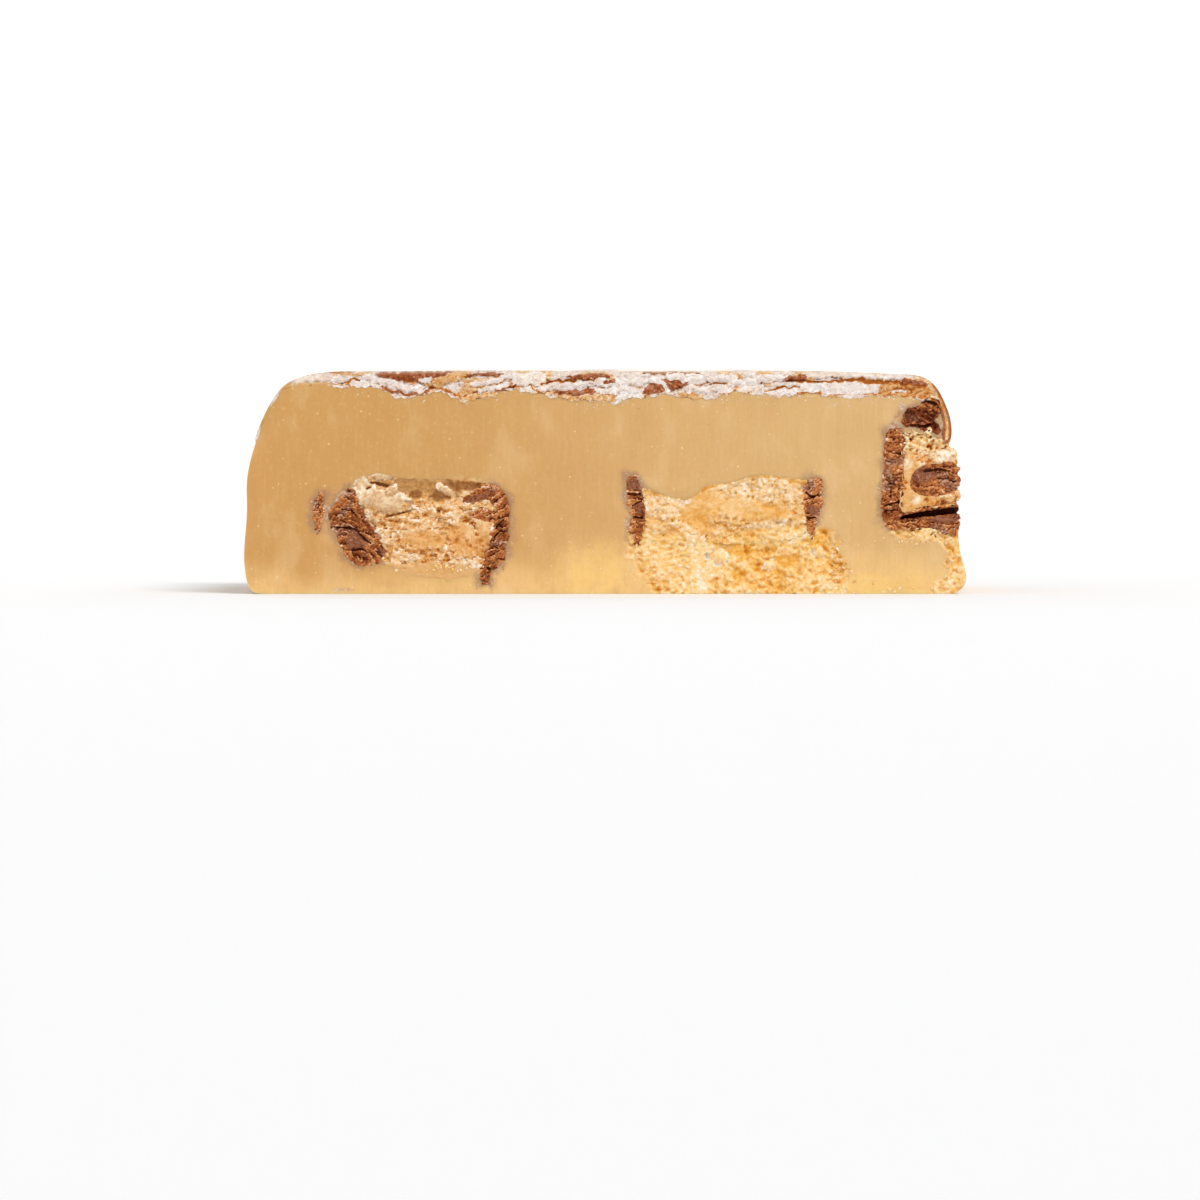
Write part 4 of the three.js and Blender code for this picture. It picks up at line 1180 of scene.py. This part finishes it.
def coatRelief(x, z, side, fromEdge):
    s = 31 + 9 * side
    rough, broad = grain(x, z, 0.4, s + 9), wobble(x, z, 2.5, s + 10)
    wx, wz = x + 0.5 * wobble(x, z, 1.0, s + 11), z + 0.22 * grain(x, z, 0.7, s + 12)
    up = z + 0.35 * math.sin(x / 3.1 + 1.5 * wobble(x, z, 5, s))
    ledge, strong = ledges(up, x / 1.6, z, 0.5, 0.5, s + 1)
    depth = 0.16 - 0.2 * strong * (ledge - 0.5) - 0.08 * rough - 0.15 * broad
    # painted light and shade: each ledge's lip is lighter and its foot darker
    level = 0.5 + strong * (0.25 * ramp(0.6, 0.95, ledge) - 0.45 * ramp(0.25, 0.02, ledge)) + 0.15 * broad
    brown = ramp(0.15, 0.3, wobble(x / 1.6, z * 1.6, 2.0, s + 14)) if side == back else 0.0
    tan = ramp(-0.1, 0.3, wobble(x / 1.5, z, 1.6, s + 15))
    if side == front:
        for kind, path in coat["lobes"]:
            if not path[0][0] - 1.5 < x < path[-1][0] + 1.5:
                continue
            reach, below = onStroke(wx, wz, path)
            if reach > 1.8:
                continue
            light, darkness, warmth = coat["kinds"][kind]
            m = ramp(1.08, 0.92, reach)
            # a rim lightened partly as frost and partly as painted light, more on its upper side, and a painted
            # shadow just beneath the lobe
            rim = ramp(0.6, 0.95, reach) * (0.45 if below else 0.9)
            inside = light + 0.18 * broad + 0.1 * rough + 0.3 * rim * (kind != "dark")
            bulge = 0.12 - 0.14 * (1 - reach) - 0.05 * rough
            depth = mix(depth + 0.12 * ramp(1.6, 1.1, reach) * below, bulge, m)
            level = mix(level - 0.45 * ramp(1.5, 1.05, reach) * below, inside, m)
            brown, tan = mix(brown, darkness, m), mix(tan, warmth, m)
        for path in coat["cracks"]:
            if path[0][0] - 1 < x < path[-1][0] + 1:
                m = ramp(1.7, 0.7, onStroke(wx, wz, path)[0])
                depth, level, tan = depth + 0.2 * m, mix(level, -0.05, m), max(tan, m)
    fudgy = 0.0
    left, right = coat["skins"]
    if x < left:
        # at the left corner the coat thins out and the fudge shows between its slivers
        ends = ramp(left, left - 1, x)
        fudgy = ends * (1 - softSpots(x, z, coat["slivers"]))
        level, brown = mix(level, 0.45, ends), mix(brown, 0.3, ends)
        tan, depth = tan * (1 - ends), mix(depth, 0.02, ends)
    elif x > right:
        # at the right corner it is a glossy skin, with a frosty line inside it
        ends = ramp(right, right + 0.9, x)
        skin = ramp(0.34, 0.22, -fromEdge)
        line = ramp(0.3, 0.38, -fromEdge) * ramp(0.55, 0.45, -fromEdge)
        depth = mix(depth, 0.05 + 0.1 * line, ends)
        brown, tan = mix(brown, 0.6 * skin, ends), mix(tan, 1.0, ends)
        level = mix(level, 0.24 + 0.62 * line + 0.06 * skin + 0.1 * rough, ends)
    # its upper edge is rounded, and its lower one stands a little proud of the fudge
    rounding = ramp(0.5, 0.0, -fromEdge) ** 2 * ramp(20.8, 21.4, z)
    rim = ramp(0.55, 0.15, -fromEdge) * ramp(21.8, 21.45, z) * ramp(left - 0.5, left, x)
    depth = mix(depth, -0.04, rim) + 0.4 * rounding
    return max(proudest, depth), (1 - 0.5 * rounding, level, brown, tan, fudgy)


def coatSkin(x, y, z, normal):
    # soft waves over the top
    top = ramp(0.3, 0.9, normal.z)
    waves = math.sin(x / 3.1 + 2.2 * math.sin(y / 5.5)) + 0.6 * math.sin(y / 2.6)
    push = 0.14 * waves * top - 0.12 * top + 0.05 * noise.noise(Vector((x / 2, y / 2.4, z / 2)))
    return push, (0.0,) * 5


coat["outlines"] = [coatOutline()]
coat["fields"] = [coat["outlines"]]
makeSection("marbledCoat", coat, coatRelief, ("cutFace", "level", "brown", "tan", "fudge"), coatSkin)


# crumbs that fell off and stuck to the cuts

# least and most reach of a crumb along x, y and z, times its size
crumbReach = ((0.7, 1.4), (0.4, 0.6), (0.6, 1.1))
crumbs = {
    "coatCrumbs": {
        "finish": "coatCrumb", "slot": "marbled_chocolate", "nodes": ["marbled_coat"], "seed": 3,
        "tones": {"cutFace": 1.0, "level": (0.3, 0.85), "tan": (0.0, 1.0)}, "size": (0.03, 0.1),
        # under the coat: from x, to x, least and most below its foot, how many
        "under": (-25, 31, -0.1, 0.9, 260),
    },
    "chocolateCrumbs": {
        "finish": "chocolate", "slot": "milk_chocolate", "seed": 4,
        "nodes": ["left_bar_chunk", "left_bar_sliver", "left_bar_hook", "middle_bar_left_wall",
                  "right_bar_shell"],
        "tones": {"level": (0.3, 0.75)}, "size": (0.05, 0.16),
        # centre x, z, reach x, z, how many
        "heaps": [(-28.8, 6.9, 0.3, 0.9, 26), (-24.6, 3.2, 1.2, 0.4, 20),
                  (-12.0, 1.6, 0.5, 0.7, 40), (-13.2, 6.8, 0.7, 0.8, 16), (-12.7, 8.3, 0.8, 0.4, 14),
                  (3.1, 5.0, 0.4, 0.6, 26), (20.6, 6.2, 0.4, 0.5, 20), (29.9, 11.5, 0.4, 3.5, 30),
                  (33.2, 9.4, 1.4, 0.5, 26), (32.5, 6.1, 2.4, 0.3, 24)],
    },
    "fudgeCrumbs": {
        "finish": "fudgeCrumb", "slot": "caramel_fudge", "nodes": ["fudge_body"], "seed": 5,
        "tones": {"torn": 1.0, "level": (0.3, 0.8)}, "size": (0.05, 0.18),
        "heaps": [(27.8, 0.6, 4.8, 0.7, 60), (2.8, 3.8, 0.6, 2.4, 24), (23.3, 3.2, 1.0, 2.6, 50),
                  (34.2, 3.0, 0.8, 2.4, 40), (31.6, 5.4, 3.0, 0.6, 36), (-16.0, 2.6, 3.4, 0.6, 50)],
    },
}


def makeCrumbs(name, look, ball):
    # each crumb is the ball, stretched, turned and dented
    draw = random.Random(look["seed"])
    noise.seed_set(look["seed"])  # for the dents: without it noise_vector differs from run to run
    places = []
    for x, z, reachX, reachZ, count in look.get("heaps", ()):
        places += [(draw.gauss(x, reachX / 2), draw.gauss(z, reachZ / 2)) for _ in range(count)]
    if "under" in look:
        left, right, least, most, count = look["under"]
        for _ in range(count):
            x = draw.uniform(left, right)
            foot = np.interp(x, coatFoot[:, 0], coatFoot[:, 1])
            places.append((x, foot - least - (most - least) * draw.random() ** 2.5))
    bm = bmesh.new()
    values = []
    for side in (front, back):
        for x, z in places:
            size = mix(*look["size"], draw.random() ** 2)
            x, z = wander(x, side * halfDepth, max(z, size))
            turn = Matrix.Rotation(draw.uniform(0, math.pi), 4, "Y")
            stretch = Matrix.Diagonal([size * draw.uniform(*reach) for reach in crumbReach] + [1])
            place = Matrix.Translation((x, side * halfDepth, z)) @ turn @ stretch
            shades = [mix(*t, draw.random()) if isinstance(t, tuple) else t for t in look["tones"].values()]
            first = len(bm.verts)
            bm.from_mesh(ball)
            bm.verts.ensure_lookup_table()
            for vert in bm.verts[first:]:
                vert.co = place @ vert.co
                vert.co += 0.4 * size * noise.noise_vector(vert.co / size)
                vert.co.z = max(vert.co.z, 0.0)
                values.append(shades)
    addPiece(bm, name, look["finish"], look["nodes"], look["slot"], look["tones"], values)


ballShape = bmesh.new()
bmesh.ops.create_icosphere(ballShape, subdivisions=2, radius=1)
ballMesh = bpy.data.meshes.new("ball")
ballShape.to_mesh(ballMesh)
ballShape.free()
for name, look in crumbs.items():
    makeCrumbs(name, look, ballMesh)
bpy.data.meshes.remove(ballMesh)


# stage, light and camera

def makeStage():
    # a pale sweep: flat floor, then a wide curve up into a wall behind
    sweep = {"front": -4.0, "turn": 1.6, "radius": 0.8, "wall": 4.0, "halfWidth": 5.0, "shade": 0.93}
    bm = bmesh.new()
    profile = [bm.verts.new((-sweep["halfWidth"], y, 0)) for y in (sweep["front"], sweep["turn"])]
    bm.edges.new(profile)
    bend = bmesh.ops.spin(bm, geom=[profile[1]], cent=(0, sweep["turn"], sweep["radius"]), axis=(1, 0, 0),
                          angle=math.pi / 2, steps=24)
    last = [v for v in bend["geom_last"] if isinstance(v, bmesh.types.BMVert)]
    wall = bmesh.ops.extrude_vert_indiv(bm, verts=last)
    bmesh.ops.translate(bm, verts=wall["verts"], vec=(0, 0, sweep["wall"]))
    wide = bmesh.ops.extrude_edge_only(bm, edges=list(bm.edges))
    moved = [v for v in wide["geom"] if isinstance(v, bmesh.types.BMVert)]
    bmesh.ops.translate(bm, verts=moved, vec=(2 * sweep["halfWidth"], 0, 0))
    bmesh.ops.recalc_face_normals(bm, faces=bm.faces)
    pale = Finish("paleFloor", Roughness=0.9, Base_Color=(sweep["shade"],) * 3 + (1,))
    floor = newObject(bm, "floor", pale.material)


def softLight(name, toward, spread, strength):
    # a very wide far lamp, shining along a direction
    data = bpy.data.lights.new(name, "SUN")
    data.angle, data.energy = math.radians(spread), strength
    lamp = bpy.data.objects.new(name, data)
    lamp.rotation_mode = "QUATERNION"
    lamp.rotation_quaternion = Vector(toward).to_track_quat("-Z", "Y")
    bpy.context.scene.collection.objects.link(lamp)


def makeCamera():
    # a long lens, almost level, framed as the photograph is: 120 mm across at the front cut
    view = {"aim": (-0.55, -halfDepth, -0.6), "distance": 900.0, "elevation": 1.3, "across": 120.0}
    up = math.radians(view["elevation"])
    aim = Vector(view["aim"]) * metres
    away = Vector((0, -math.cos(up), math.sin(up)))
    data = bpy.data.cameras.new("camera")
    data.lens = data.sensor_width * view["distance"] / view["across"]
    data.clip_start, data.clip_end = 0.05, 20
    camera = bpy.data.objects.new("camera", data)
    camera.location = aim + away * view["distance"] * metres
    camera.rotation_mode = "QUATERNION"
    camera.rotation_quaternion = (-away).to_track_quat("-Z", "Y")
    bpy.context.scene.collection.objects.link(camera)
    bpy.context.scene.camera = camera


lights = {
    "room": 0.42,
    # where it shines, its spread in degrees, its strength
    "keyLight": ((-0.45, 0.7, -0.9), 25, 1.9),
    "fillLight": ((0.7, 0.8, -0.5), 70, 0.5),
}
makeStage()
world = bpy.data.worlds.new("softRoom")
world.use_nodes = True
room = world.node_tree.nodes["Background"]
room.inputs["Color"].default_value = (1, 1, 1, 1)
room.inputs["Strength"].default_value = lights["room"]
bpy.context.scene.world = world
for name in ("keyLight", "fillLight"):
    softLight(name, *lights[name])
bpy.context.scene.view_settings.view_transform = "Standard"
makeCamera()
print("stage, light and camera made")
